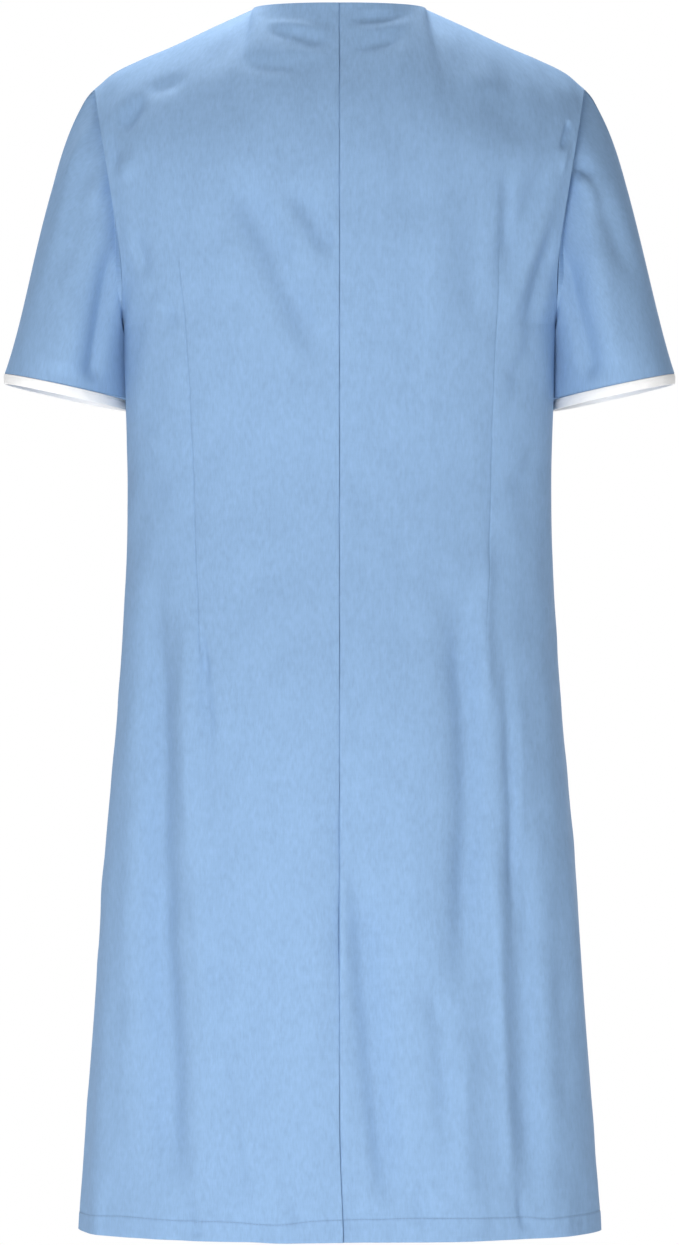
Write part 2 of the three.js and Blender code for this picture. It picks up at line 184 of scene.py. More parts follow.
# Smaller creases, laid on the cloth along a path of (x, height) places. Depth is out of the cloth
# when positive. Left and right are the half widths on either side, seen from outside with the
# path running down. Begin and end are the shares of the path over which the crease fades.
Crease = namedtuple("Crease", "path depth left right begin end")
CREASES = {
    "back_left": (
        Crease(((152, -420), (150, -520), (149, -620), (146, -720), (142, -840), (138, -950)),
               -3.4, 18, 18, 0.2, 0.15),
        Crease(((121, -440), (123, -520), (122, -600), (116, -680)), 0.9, 9, 6, 0.3, 0.3),
        Crease(((110, -478), (109, -520), (108, -570), (112, -620)), -0.8, 5, 8, 0.3, 0.4),
        Crease(((112, -470), (107, -500), (108, -525)), -0.7, 3, 3, 0.3, 0.4),
        Crease(((110, -520), (105, -545), (107, -566)), -0.6, 3, 4, 0.3, 0.4),
        Crease(((117, -650), (108, -740), (98, -852)), 0.8, 6, 6, 0.3, 0.3),
        Crease(((87, -800), (74, -860), (61, -945)), 0.9, 6, 7, 0.4, 0.2),
        Crease(((78, -700), (70, -780), (62, -870)), -0.7, 11, 12, 0.3, 0.3),
        Crease(((88, -106), (60, -156), (34, -210), (10, -272)), -2.4, 13, 15, 0.3, 0.3),
        Crease(((40, -118), (22, -152), (5, -184)), -1.6, 8, 10, 0.3, 0.3),
        Crease(((52, -170), (30, -206), (4, -250)), 0.9, 8, 8, 0.3, 0.3),
        Crease(((50, -262), (40, -300), (34, -352)), 0.6, 10, 14, 0.4, 0.4),
        Crease(((156, -196), (143, -216), (130, -238)), -1.1, 5, 8, 0.3, 0.3),
        Crease(((162, -184), (148, -203), (136, -224)), 0.8, 7, 5, 0.3, 0.3),
        Crease(((166, -150), (158, -180), (150, -214)), -0.9, 6, 9, 0.4, 0.4),
        Crease(((174, -84), (168, -62), (156, -46)), -1.7, 10, 10, 0.4, 0.4),
        Crease(((160, -44), (140, -38), (118, -34)), -0.9, 9, 9, 0.4, 0.4),
        Crease(((168, -92), (170, -104), (166, -118)), 0.8, 8, 8, 0.4, 0.4),
        Crease(((188, -70), (183, -92), (181, -112)), -0.9, 3, 6, 0.3, 0.4),
        Crease(((66, 12), (44, 11), (22, 5), (5, 2)), 0.45, 4, 4, 0.4, 0.3),
        Crease(((62, 1), (46, 3), (24, -3), (5, -8)), -0.5, 5, 5, 0.4, 0.3),
        Crease(((52, -12), (36, -13), (18, -17), (4, -19)), 0.4, 5, 5, 0.4, 0.3),
        Crease(((84, -14), (66, -22), (44, -26), (22, -30)), -0.8, 7, 8, 0.4, 0.4),
        Crease(((160, -330), (150, -352), (134, -372)), -0.6, 8, 10, 0.3, 0.4),
        Crease(((168, -300), (156, -318), (142, -332)), 0.5, 7, 8, 0.3, 0.4),
        Crease(((30, -952), (36, -936), (44, -916)), -0.5, 4, 5, 0.2, 0.5),
        Crease(((112, -958), (118, -944), (126, -915)), -0.8, 3, 6, 0.15, 0.5),
        Crease(((66, -955), (70, -930), (76, -900)), 0.5, 5, 6, 0.2, 0.5),
        Crease(((92, -952), (94, -930), (98, -905)), 0.5, 5, 4, 0.2, 0.5),
    ),
    "back_right": (
        Crease(((-90, -420), (-99, -500), (-104, -600), (-102, -690), (-96, -780)),
               -2.6, 13, 12, 0.3, 0.3),
        Crease(((-119, -390), (-118, -440), (-117, -500), (-119, -560)), 0.8, 7, 6, 0.3, 0.3),
        Crease(((-131, -480), (-138, -560), (-143, -640), (-146, -720)), -1.3, 8, 6, 0.3, 0.3),
        Crease(((-143, -560), (-147, -660), (-150, -760)), 0.7, 4, 5, 0.3, 0.4),
        Crease(((-123, -620), (-128, -720), (-133, -820), (-138, -948)), 0.9, 7, 8, 0.3, 0.2),
        Crease(((-144, -600), (-148, -700), (-152, -820), (-156, -948)), -1.8, 13, 12, 0.3, 0.2),
        Crease(((-12, -640), (-20, -740), (-30, -840), (-44, -952)), -2.6, 10, 15, 0.3, 0.2),
        Crease(((-72, -740), (-82, -820), (-88, -890)), -0.9, 9, 9, 0.3, 0.3),
        Crease(((-104, -790), (-100, -860), (-102, -940)), 0.7, 9, 9, 0.3, 0.2),
        Crease(((-134, -104), (-134, -140), (-134, -180)), -1.0, 7, 6, 0.35, 0.3),
        Crease(((-112, -34), (-134, -64), (-150, -92)), -1.3, 17, 18, 0.4, 0.4),
        Crease(((-172, -92), (-148, -146), (-124, -206)), -1.1, 11, 12, 0.3, 0.4),
        Crease(((-178, -96), (-158, -160), (-139, -214), (-132, -250)), 1.0, 9, 9, 0.3, 0.4),
        Crease(((-174, -150), (-160, -200), (-148, -250)), -0.9, 8, 9, 0.3, 0.4),
        Crease(((-158, -232), (-146, -262), (-136, -296)), -0.7, 7, 9, 0.3, 0.4),
        Crease(((-52, -60), (-50, -110), (-54, -160)), -0.6, 12, 16, 0.4, 0.4),
        Crease(((-84, -120), (-80, -180), (-82, -270)), 0.9, 13, 13, 0.4, 0.4),
        Crease(((-108, -130), (-106, -180), (-108, -260)), -0.8, 13, 12, 0.4, 0.4),
        Crease(((-4, 13), (-34, 14), (-64, 18)), -0.6, 4, 5, 0.3, 0.4),
        Crease(((-12, 2), (-34, 6), (-60, 11)), 0.45, 4, 5, 0.3, 0.4),
        Crease(((-10, -12), (-30, -8), (-56, -2)), -0.55, 5, 5, 0.3, 0.4),
        Crease(((-186, -66), (-181, -80), (-178, -94)), -1.1, 3, 4, 0.2, 0.3),
        Crease(((-186, -82), (-180, -96), (-178, -114)), 0.7, 5, 4, 0.3, 0.4),
        Crease(((-160, -330), (-148, -352), (-130, -366)), -0.6, 8, 10, 0.3, 0.4),
        Crease(((-72, -952), (-66, -926), (-64, -890)), -0.5, 7, 8, 0.2, 0.5),
        Crease(((-150, -956), (-148, -936), (-147, -915)), -0.7, 3, 4, 0.2, 0.5),
        Crease(((-112, -955), (-108, -930), (-104, -900)), 0.5, 8, 8, 0.2, 0.5),
    ),
    "front_left": (
        Crease(((112, -520), (120, -640), (132, -780), (138, -930)), -1.4, 14, 8, 0.3, 0.2),
        Crease(((82, -560), (90, -700), (94, -860)), 1.2, 14, 16, 0.3, 0.3),
        Crease(((170, -560), (184, -760), (194, -930)), 1.2, 14, 12, 0.3, 0.3),
        Crease(((158, -196), (132, -214), (104, -222)), -1.1, 8, 8, 0.3, 0.4),
        Crease(((160, -238), (132, -244), (108, -242)), -0.8, 8, 8, 0.3, 0.4),
        Crease(((150, -120), (132, -90), (118, -50)), -1.1, 9, 10, 0.3, 0.4),
        Crease(((158, -350), (136, -362), (112, -376)), -0.9, 8, 9, 0.3, 0.4),
        Crease(((60, -336), (40, -352), (20, -356)), -0.7, 7, 8, 0.3, 0.4),
        Crease(((36, -470), (26, -520), (22, -600)), -0.8, 9, 10, 0.3, 0.4),
        Crease(((60, -950), (62, -925), (66, -890)), -0.6, 6, 6, 0.2, 0.5),
    ),
    "front_right": (
        Crease(((-116, -520), (-122, -650), (-126, -790), (-130, -930)), -1.3, 8, 14, 0.3, 0.2),
        Crease(((-76, -560), (-86, -700), (-92, -860)), 1.2, 16, 12, 0.3, 0.3),
        Crease(((-172, -560), (-180, -760), (-190, -930)), 1.3, 12, 14, 0.3, 0.3),
        Crease(((-158, -200), (-130, -216), (-102, -220)), -1.1, 8, 8, 0.3, 0.4),
        Crease(((-162, -236), (-136, -246), (-110, -246)), -0.7, 8, 8, 0.3, 0.4),
        Crease(((-152, -118), (-136, -84), (-124, -46)), -1.1, 10, 9, 0.3, 0.4),
        Crease(((-160, -346), (-134, -360), (-108, -370)), -0.9, 8, 9, 0.3, 0.4),
        Crease(((-14, -276), (-40, -290), (-66, -292)), -0.6, 7, 8, 0.3, 0.4),
        Crease(((-12, -368), (-38, -360), (-64, -350)), -0.7, 7, 8, 0.3, 0.4),
        Crease(((-12, -546), (-26, -600), (-30, -680)), -0.8, 10, 9, 0.3, 0.4),
        Crease(((-96, -952), (-92, -926), (-88, -890)), 0.6, 6, 6, 0.2, 0.5),
    ),
}

# How far the back dips at its centre seam.
SEAM_DIP = table(
    "height depth",
    (-961, 0.8), (-900, 1.2), (-820, 1.0), (-740, 2.0), (-640, 2.6), (-560, 1.2), (-450, 0.4),
    (-330, 0.9), (-200, 1.2), (-100, 0.6), (30, 0.2))

# Depth of the stitched hem along each panel, by distance from the centre line.
HEM_DEPTH = {
    "back_left": table(
        "x depth", (0, 18.2), (20, 17.8), (52, 14.6), (95, 16.3), (124, 15.8), (154, 16.4),
        (177, 16.8), (212, 14)),
    "back_right": table(
        "x depth", (0, 18.2), (33, 18.8), (53, 19.4), (97, 19), (129, 18.2), (152, 17.6),
        (166, 15.6), (186, 16.2), (212, 16)),
    "front_left": table("x depth", (-15, 17), (40, 16.2), (90, 17.4), (140, 16), (212, 14)),
    "front_right": table("x depth", (-15, 17), (50, 17.5), (100, 16), (160, 17), (212, 16)),
}

# ---------------------------------------------------------------- sleeve sizes, in millimetres
CUFF_CENTRE = (222.3, -25)
CUFF_HALF_WIDTH = 48
CUFF_HALF_DEPTH = 68
CUFF_TURN = math.radians(15)
CUFF_OUTER_X = 272
CUFF_OUTER_HEIGHT = -268
CUFF_SLOPE = 0.21
CAP_SPREAD = 0.6
CAP_REACH = 0.24
CUFF_REACH = 0.32
BAND_DEPTH = 8.7
BAND_WALL = 1.6
BAND_RISE = 0.3
LOOP_STEPS = 24
SLEEVE_STEPS = 216
SLEEVE_ASPECT = 2.2  # about how many times longer a sleeve is round than down
TUCK_FADE = 30
UNDERARM_FULLNESS = 5.0

# Creases of the sleeves, along (share round the armhole, share of the length) places. Round the
# armhole, 0 is the underarm, a quarter is the middle of the back and a half is the shoulder.
SLEEVE_CREASES = {
    "left": (
        Crease(((0.17, 0.1), (0.15, 0.35), (0.13, 0.7), (0.12, 0.96)), -1.5, 10, 8, 0.3, 0.2),
        Crease(((0.24, 0.12), (0.26, 0.4), (0.27, 0.62)), -1.2, 12, 12, 0.3, 0.4),
        Crease(((0.33, 0.08), (0.31, 0.3), (0.3, 0.5)), -0.9, 9, 12, 0.3, 0.4),
        Crease(((0.2, 0.5), (0.2, 0.75), (0.19, 0.97)), 1.2, 12, 12, 0.4, 0.2),
        Crease(((0.4, 0.05), (0.38, 0.2), (0.37, 0.36)), 0.7, 8, 8, 0.3, 0.4),
        Crease(((0.68, 0.1), (0.7, 0.4), (0.72, 0.8)), -1.4, 12, 10, 0.3, 0.3),
        Crease(((0.8, 0.1), (0.84, 0.4), (0.86, 0.9)), -1.2, 10, 10, 0.3, 0.3),
        Crease(((0.6, 0.06), (0.62, 0.25), (0.62, 0.45)), -0.8, 9, 9, 0.3, 0.4),
    ),
    "right": (
        Crease(((0.16, 0.1), (0.14, 0.3), (0.14, 0.7), (0.13, 0.96)), -1.7, 8, 12, 0.3, 0.2),
        Crease(((0.22, 0.3), (0.21, 0.55), (0.2, 0.95)), 1.1, 12, 12, 0.3, 0.2),
        Crease(((0.26, 0.04), (0.29, 0.14), (0.31, 0.24)), -1.0, 6, 8, 0.2, 0.5),
        Crease(((0.3, 0.2), (0.31, 0.45), (0.32, 0.7)), -1.1, 12, 12, 0.4, 0.4),
        Crease(((0.24, 0.05), (0.27, 0.2), (0.27, 0.34)), 0.9, 6, 8, 0.3, 0.4),
        Crease(((0.66, 0.1), (0.68, 0.4), (0.7, 0.8)), -1.3, 12, 10, 0.3, 0.3),
        Crease(((0.78, 0.1), (0.82, 0.4), (0.85, 0.9)), -1.3, 10, 10, 0.3, 0.3),
    ),
}

# ---------------------------------------------------------------- buttons, in millimetres
BUTTON_COUNT = 8
BUTTON_THICKNESS = 2.4
HOLE_RADIUS = 0.95
HOLE_OFFSET = 1.55
HOLE_SIDES = 20
HOLE_BELOW = 1.0
HOLE_LENGTH = 5
FLOOR_SIDES = 96

# Stitches and thread: spaces, sizes and heights in millimetres.
STITCH_GAP = 0.6
HEM_STITCH_RADIUS = 0.2
HEM_STITCH_SINK = 0.16
BAND_STITCH_DROP = 1.6
BAND_STITCH_LENGTH = 1.9
BAND_STITCH_RADIUS = 0.16
BAND_STITCH_SINK = 0.12
BUTTON_THREAD_RADIUS = 0.2
STRAND_OFFSET = 0.22
STRAND_HEIGHT = 1.95
STRAND_ARCH = 0.35
STRAND_DIVE = 1.6

# The frame's length for one millimetre of the pattern.
PANEL_LOW, PANEL_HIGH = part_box("back_left")
MM = (PANEL_HIGH.z - PANEL_LOW.z) / (NECK_HEIGHT - HEM_HEIGHT)


# ---------------------------------------------------------------- small functions on whole arrays
def mix(a, b, t):
    return a + (b - a) * t


def smooth(t):
    """0 below 0, 1 above 1, and 3t^2 - 2t^3 between."""
    t = np.clip(t, 0, 1)
    return t * t * (3 - 2 * t)


def bell(x):
    return np.exp(-x * x)


def read(data, name, at):
    """Smooth reading of a table's column: a cubic between rows, whose slope at a row is the slope
    from the row before it to the row after it."""
    place = next(iter(data.values()))
    value = data[name]
    number = np.arange(len(place))
    before = np.maximum(number - 1, 0)
    after = np.minimum(number + 1, len(place) - 1)
    slope = (value[after] - value[before]) / (place[after] - place[before])
    at = np.clip(at, place[0], place[-1])
    i = np.clip(np.searchsorted(place, at, side="right") - 1, 0, len(place) - 2)
    span = place[i + 1] - place[i]
    t = (at - place[i]) / span
    leave = t * (1 - t) ** 2 * span * slope[i]
    arrive = t * t * (1 - t) * span * slope[i + 1]
    return mix(value[i], value[i + 1], smooth(t)) + leave - arrive


def bezier(a, b, c, d, t):
    """Cubic curve from a to d, leaving towards b and arriving from c."""
    s = 1 - t
    return a * s**3 + b * 3 * s * s * t + c * 3 * s * t * t + d * t**3


def unit(vectors):
    return vectors / np.linalg.norm(vectors, axis=-1, keepdims=True)


def lengths(points, axis):
    """Distance of each point of a grid from the first one, along its rows or columns."""
    steps = np.linalg.norm(np.diff(points, axis=axis), axis=-1)
    return np.insert(np.cumsum(steps, axis=axis), 0, 0, axis=axis)


def grid_normals(points, around=False):
    """Unit normals of a grid, as the cross product of its steps along columns and along rows."""
    along = np.gradient(points, axis=0)
    across = np.gradient(points, axis=1)
    if around:
        across = np.roll(points, -1, 1) - np.roll(points, 1, 1)
    return unit(np.cross(across, along))


def waves(u, v, seed, count, length_u, length_v):
    """Smooth unevenness: a sum of cosine waves over u and v with seeded directions and phases,
    about 1 high, whose lengths are near the two that are given."""
    random = np.random.default_rng(seed)
    total = np.zeros(np.broadcast(u, v).shape)
    for _ in range(count):
        turn = random.uniform(0, 2 * np.pi)
        stretch = random.uniform(0.6, 1.5)
        phase = random.uniform(0, 2 * np.pi)
        ahead = np.cos(turn) * u / length_u + np.sin(turn) * v / length_v
        total = total + np.cos(2 * np.pi * stretch * ahead + phase)
    return total / math.sqrt(count)


def roll(edge_distance, radius):
    """How far the cloth has turned in near an edge: a quarter circle of the given radius."""
    left = np.clip(radius - edge_distance, 0, radius)
    return radius - np.sqrt(radius * radius - left * left)


def curve_through(points, steps=6):
    """Finer points on a Catmull-Rom curve through the given ones."""
    padded = np.vstack([2 * points[0] - points[1], points, 2 * points[-1] - points[-2]])
    p0, p1, p2, p3 = (padded[k : len(points) - 1 + k, None] for k in range(4))
    t = (np.arange(steps) / steps)[None, :, None]
    fine = 0.5 * (2 * p1 + (p2 - p0) * t + (2 * p0 - 5 * p1 + 4 * p2 - p3) * t**2
                  + (3 * p1 - p0 - 3 * p2 + p3) * t**3)
    return np.vstack([fine.reshape(-1, 3), points[-1:]])


def crease_relief(points, normals, places, creases):
    """Height that the creases add at each point of a grid.

    A crease's path is laid on the cloth at the grid points whose places are nearest. Its height
    at a point is depth * exp(-(d / width)^2), where d is the distance to the path and width
    depends on the side, times a fade at each end of the path.
    """
    height = np.zeros(points.shape[:2])
    for crease in creases:
        nearest = []
        for place in crease.path:
            gap = ((places - np.array(place)) ** 2).sum(axis=-1)
            nearest.append(points[np.unravel_index(gap.argmin(), gap.shape)])
        path = curve_through(np.array(nearest))
        reach = 3 * max(crease.left, crease.right)
        near = ((points > path.min(axis=0) - reach) & (points < path.max(axis=0) + reach)).all(axis=-1)
        start, step = path[:-1], np.diff(path, axis=0)
        size = (step**2).sum(axis=-1)
        offset = points[near][:, None] - start[None]
        share = np.clip((offset * step).sum(axis=-1) / size, 0, 1)
        apart = offset - share[..., None] * step
        distance = np.linalg.norm(apart, axis=-1)
        best = distance.argmin(axis=1)
        row = np.arange(len(best))
        side = (np.cross(step[best], normals[near]) * apart[row, best]).sum(axis=-1)
        width = np.where(side > 0, crease.left, crease.right)
        along = (best + share[row, best]) / len(start)
        fade = smooth(along / crease.begin) * smooth((1 - along) / crease.end)
        height[near] += crease.depth * bell(distance[row, best] / width) * fade
    return height


# ---------------------------------------------------------------- the body panels
def level_points(kind, dart, columns, height, edge_x, edge_y):
    """Level rows of a panel. Each is part of an oval, |x/w|^n + |y/d|^n = 1, through the centre
    depth and the side or armhole edge. Columns are even in x up to the dart and even in the
    oval's angle beyond it."""
    n = BODY_ROUND
    height, edge_x, edge_y = (np.asarray(part, dtype=float)[:, None] for part in (height, edge_x, edge_y))
    depth = read(BODY, kind["centre"], height) - SIDE_Y
    share = np.abs((edge_y - SIDE_Y) / depth) ** n
    half_width = edge_x / (1 - share) ** (1 / n)
    dart_x = read(dart, "x", height)
    dart_turn = np.arcsin((dart_x / half_width) ** (n / 2))
    edge_turn = np.arcsin(np.minimum(edge_x / half_width, 1) ** (n / 2))
    t = np.clip((columns - DART_COLUMN) / (SIDE_COLUMN - DART_COLUMN), 0, 1)
    beyond = half_width * np.sin(mix(dart_turn, edge_turn, t)) ** (2 / n)
    x = np.where(columns <= DART_COLUMN, mix(kind["first_x"], dart_x, columns / DART_COLUMN), beyond)
    y = SIDE_Y + depth * np.clip(1 - np.abs(x / half_width) ** n, 0, None) ** (1 / n)
    return np.stack([x, y, np.broadcast_to(height, x.shape)], axis=-1)


def top_edge(kind, columns):
    """Upper edge of a panel: the neck edge up to the neck point, then the shoulder seam."""
    t = np.clip((columns - NECK_COLUMNS) / (SIDE_COLUMN - NECK_COLUMNS), 0, 1)
    seam_x = mix(NECK_HALF_WIDTH, SHOULDER_TIP_X, t)
    seam_y = np.full(len(columns), SHOULDER_Y + kind["sign"] * SEAM_GAP / 2)
    seam_z = read(SHOULDER_LINE, "height", seam_x)
    share = np.clip(columns / NECK_COLUMNS, 0, 1)
    if kind["sign"] > 0:
        turn = share * math.pi / 2
        neck_x = np.maximum(kind["first_x"], NECK_HALF_WIDTH * np.sin(turn) ** (2 / NAPE_ROUND))
        neck_y = mix(SHOULDER_Y, NAPE_Y, np.clip(np.cos(turn), 0, 1) ** (2 / NAPE_ROUND))
        neck_z = np.full(len(columns), float(NECK_HEIGHT))
    else:
        neck_x = mix(-LAP_X, NECK_HALF_WIDTH, share)
        neck_y = mix(SHOULDER_Y, VEE_Y, (1 - share) ** VEE_BEND)
        neck_z = mix(VEE_HEIGHT, NECK_HEIGHT, share**VEE_RISE)
    neck = np.stack([neck_x, neck_y, neck_z], axis=-1)
    seam = np.stack([seam_x, seam_y, seam_z], axis=-1)
    return np.where((columns < NECK_COLUMNS)[:, None], neck, seam)


def panel_points(kind, dart, columns, rows):
    """Grid of points of a left-hand panel. The lower rows are level ovals. The upper rows follow
    Bezier curves from the last level row to the top edge, which leave with the lean of the level
    rows, run straight to the neck edge, and arrive level at the shoulder seam."""
    seam_y = SIDE_Y + kind["sign"] * SEAM_GAP / 2

    def level(places):
        turn = np.clip((places - SKIRT_ROWS) / (LEVEL_ROWS - SKIRT_ROWS), 0, 1) * math.pi / 2
        skirt = places <= SKIRT_ROWS
        skirt_height = mix(HEM_HEIGHT, UNDERARM_HEIGHT, places / SKIRT_ROWS)
        height = np.where(skirt, skirt_height, mix(kind["level"], UNDERARM_HEIGHT, np.cos(turn)))
        skirt_x = read(BODY, "half_width", height)
        edge_x = np.where(skirt, skirt_x, read(kind["armhole"], "x", height))
        edge_y = mix(seam_y, kind["armhole_y"], np.sin(turn))
        return level_points(kind, dart, columns, height, edge_x, edge_y)

    lower = level(rows[rows <= LEVEL_ROWS])
    below, base = level(np.array([LEVEL_ROWS - 1.0, LEVEL_ROWS]))
    edge = top_edge(kind, columns)
    lean = base - below
    leaving = base + lean * (UPPER_REACH * (edge[:, 2:] - base[:, 2:]) / lean[:, 2:])
    straight = mix(edge, base, 1 / 3)
    flat_y = mix(edge[:, 1], base[:, 1], SHOULDER_REACH)
    flat_z = mix(edge[:, 2], base[:, 2], SHOULDER_DROP)
    flat = np.stack([edge[:, 0], flat_y, flat_z], axis=-1)
    arriving = mix(straight, flat, smooth(columns / NECK_COLUMNS)[:, None])
    t = (rows[rows > LEVEL_ROWS] - LEVEL_ROWS) / (TOP_ROW - LEVEL_ROWS)
    upper = bezier(base, leaving, arriving, edge, t[:, None, None])
    return np.concatenate([lower, upper])


def fold_relief(folds, x, height):
    """Height of the large folds: depth * sqrt(smooth(t)) * exp(-across^2), t being the share of
    the way down the fold, and fading out below its low end."""
    total = np.zeros(x.shape)
    for fold in folds:
        t = np.clip((fold.top_z - height) / (fold.top_z - fold.low_z), 0, 1)
        across = (x - mix(fold.top_x, fold.low_x, t)) / fold.half_width
        ending = 1 - smooth((fold.low_z - height) / FOLD_ENDING)
        total += fold.depth * np.sqrt(smooth(t)) * ending * bell(across)
    return total


def spaced(*stops):
    """Places from stop to stop, each stop being (place, spacing up to the next stop)."""
    parts = []
    for (start, spacing), (end, _) in zip(stops, stops[1:]):
        count = max(1, round((end - start) / spacing))
        parts.append(start + (end - start) * np.arange(count) / count)
    return np.concatenate(parts + [[stops[-1][0]]])


def panel_grid():
    """Columns and rows of a panel, closer together at its seams, dart, hem and neck edge."""
    columns = spaced(
        (0, 0.012), (0.036, 0.03), (0.13, 0.07), (0.27, 0.17), (5.62, 0.1), (5.82, 0.05),
        (5.92, 0.02), (6, 0.02), (6.08, 0.05), (6.18, 0.1), (6.38, 0.155), (11.76, 0.07),
        (11.9, 0.033), (11.965, 0.012), (12, 0))
    rows = spaced(
        (0, 0.008), (0.032, 0.03), (0.09, 0.06), (0.33, 0.022), (0.57, 0.06), (0.81, 0.09),
        (20, 0.15), (25, 0.15), (31.7, 0.06), (31.88, 0.03), (31.97, 0.01), (32, 0))
    return columns, rows


# line: strength of the painted shade along the seams, darts, hem line and the bands' top edge.
Cloth = namedtuple("Cloth", "outer inner place line")


def panel_cloth(name, settings):
    """Outer and inner face of a panel of the body, with the place of each point on the flat cloth
    and the strength of the painted shade along its seams, dart and hem line."""
    kind_name, side = name.split("_")
    kind = KINDS[kind_name]
    dart = DARTS[name]
    columns, rows = panel_grid()
    points = panel_points(kind, dart, columns, rows)
    normals = -kind["sign"] * grid_normals(points)
    skirt = rows <= SKIRT_ROWS
    shoulder = columns >= NECK_COLUMNS
    normals[:, 0, 0] = 0
    normals[skirt, -1, 1] = 0
    normals[-1, shoulder, 1] = 0
    normals = unit(normals)

    x, height = points[..., 0], points[..., 2]
    round_way, up_way = lengths(points, 1), lengths(points, 0)
    from_dart = round_way - round_way[:, [np.searchsorted(columns, DART_COLUMN)]]
    to_side, to_top = round_way[:, -1:] - round_way, up_way[-1:] - up_way
    seed = sum(map(ord, name))

    broad = fold_relief(FOLDS[name], x, height)
    if kind_name == "back":
        broad *= smooth(round_way / 16)
    broad -= read(dart, "pull", height) * 0.75 * np.exp(-np.abs(from_dart) / 9)
    if name == "front_left":
        broad -= UNDER_LAP * (1 - smooth((x - LAP_X) / LAP_FADE))
    if side == "right":
        points, normals = points * (-1, 1, 1), normals * (-1, 1, 1)
    places = points[..., [0, 2]]
    relief = settings.crease_strength * crease_relief(points, normals, places, CREASES[name])
    relief *= smooth(to_side / 12)
    if kind_name == "back":
        relief *= mix(0.25, 1, smooth(round_way / 10))
        broad -= read(SEAM_DIP, "depth", height) * np.exp(-round_way / 7)
    broad += relief
    away_from_edges = smooth(to_top / 20) * smooth(to_side / 14)
    skirt_share = smooth((-500 - height) / 300)
    broad += 1.1 * skirt_share * waves(round_way, up_way, seed, 9, 46, 420) * smooth(to_side / 30)
    broad += 0.45 * waves(round_way, up_way, seed + 1, 14, 34, 70) * away_from_edges

    hem = read(HEM_DEPTH[name], "depth", x)
    over_hem = up_way - hem
    in_hem = 1 - smooth((over_hem + 0.6) / 1.2)
    fine = 0.28 * in_hem
    fine -= 0.42 * bell(over_hem / 0.75)
    hem_pucker = waves(round_way, up_way, seed + 2, 10, 13, 60)
    fine += 0.26 * hem_pucker * bell((up_way - 0.6 * hem) / 16)
    seam_pucker = waves(up_way, round_way, seed + 3, 10, 12, 200)
    near_top = smooth((height + 260) / 220)
    if kind_name == "back":
        fine += mix(0.08, 0.22, near_top) * seam_pucker * np.exp(-round_way / 7) * smooth(to_top / 6)
    on_dart = read(dart, "line", height)
    fine += 0.1 * on_dart * seam_pucker * np.exp(-np.abs(from_dart) / 6)
    fine -= 0.35 * on_dart * bell(from_dart / 0.6)
    fine += 0.22 * on_dart * np.exp(-np.abs(from_dart) / 5) * (from_dart < 0)
    edge = np.minimum(np.minimum(round_way, to_side), np.minimum(up_way, to_top))
    fine -= roll(edge, settings.seam_roll)
    fine += 0.7 * smooth((rows[:, None] - SKIRT_ROWS) / 2) * np.exp(-to_side / 5)

    folded = 1 - smooth((up_way - hem) / 1.5)
    if kind_name == "front":
        folded = np.maximum(folded, 1 - smooth((round_way - 28) / 1.5))
        seam_distance = np.minimum(to_side, np.where(shoulder, to_top, 99))
    else:
        seam_distance = np.minimum(np.minimum(round_way, to_side), np.where(shoulder, to_top, 99))
    thick = settings.cloth_thickness * (1 + folded) + 1.5 * bell(seam_distance / 3)

    outer = points + normals * (broad + fine)[..., None]
    inner = points + normals * (broad - thick)[..., None]
    lean = SEAM_LEAN + (SEAM_GAP - SEAM_SLIT) * (side == "right")
    lean_x = lean * bell(round_way / 3) * (kind_name == "back")
    lean_y = SEAM_LEAN * np.maximum(bell(to_side / 3), bell(to_top / 3) * shoulder)
    inner += np.stack([lean_x, lean_y, np.zeros(x.shape)], axis=-1)
    if kind_name == "back":
        drift = HEM_DRIFT * bell((height - HEM_HEIGHT) / 55) * bell(x / 45)
        outer[..., 0] -= drift
        inner[..., 0] -= drift
    # Painted shade along the seams, the dart and the hem stitch line, as shade falls in their grooves.
    line = 0.5 * bell(seam_distance / 0.7)
    line = np.maximum(line, 0.45 * on_dart * bell(from_dart / 0.7))
    line = np.maximum(line, 0.6 * bell(over_hem / 0.8))
    place = np.stack([round_way, up_way, np.full(x.shape, seed % 7 * 40.0)], axis=-1)
    return Cloth(outer, inner, place, line)


# ---------------------------------------------------------------- the sleeves and their bands
def armhole_loop(steps):
    """Points round the left armhole, from the underarm up the back and down the front, each a
    seam gap away from the panel's edge and out from it."""
    sides = []
    half = LOOP_STEPS / 2
    for kind_name in ("back", "front"):
        kind = KINDS[kind_name]
        dart = DARTS[f"{kind_name}_left"]
        rows = SKIRT_ROWS + np.linspace(0, half, steps // 2 + 1)
        points = panel_points(kind, dart, np.array([11.5, 12.0]), rows)
        along = np.gradient(points[:, 1], axis=0)
        across = points[:, 1] - points[:, 0]
        normal = unit(-kind["sign"] * np.cross(across, along))
        away = unit(kind["sign"] * np.cross(normal, along))
        sides.append(points[:, 1] + SEAM_GAP * (away + normal))
    back, front = sides
    return np.concatenate([back, front[-2:0:-1]])


def cuff_height(x):
    return CUFF_OUTER_HEIGHT - CUFF_SLOPE * (CUFF_OUTER_X - x)


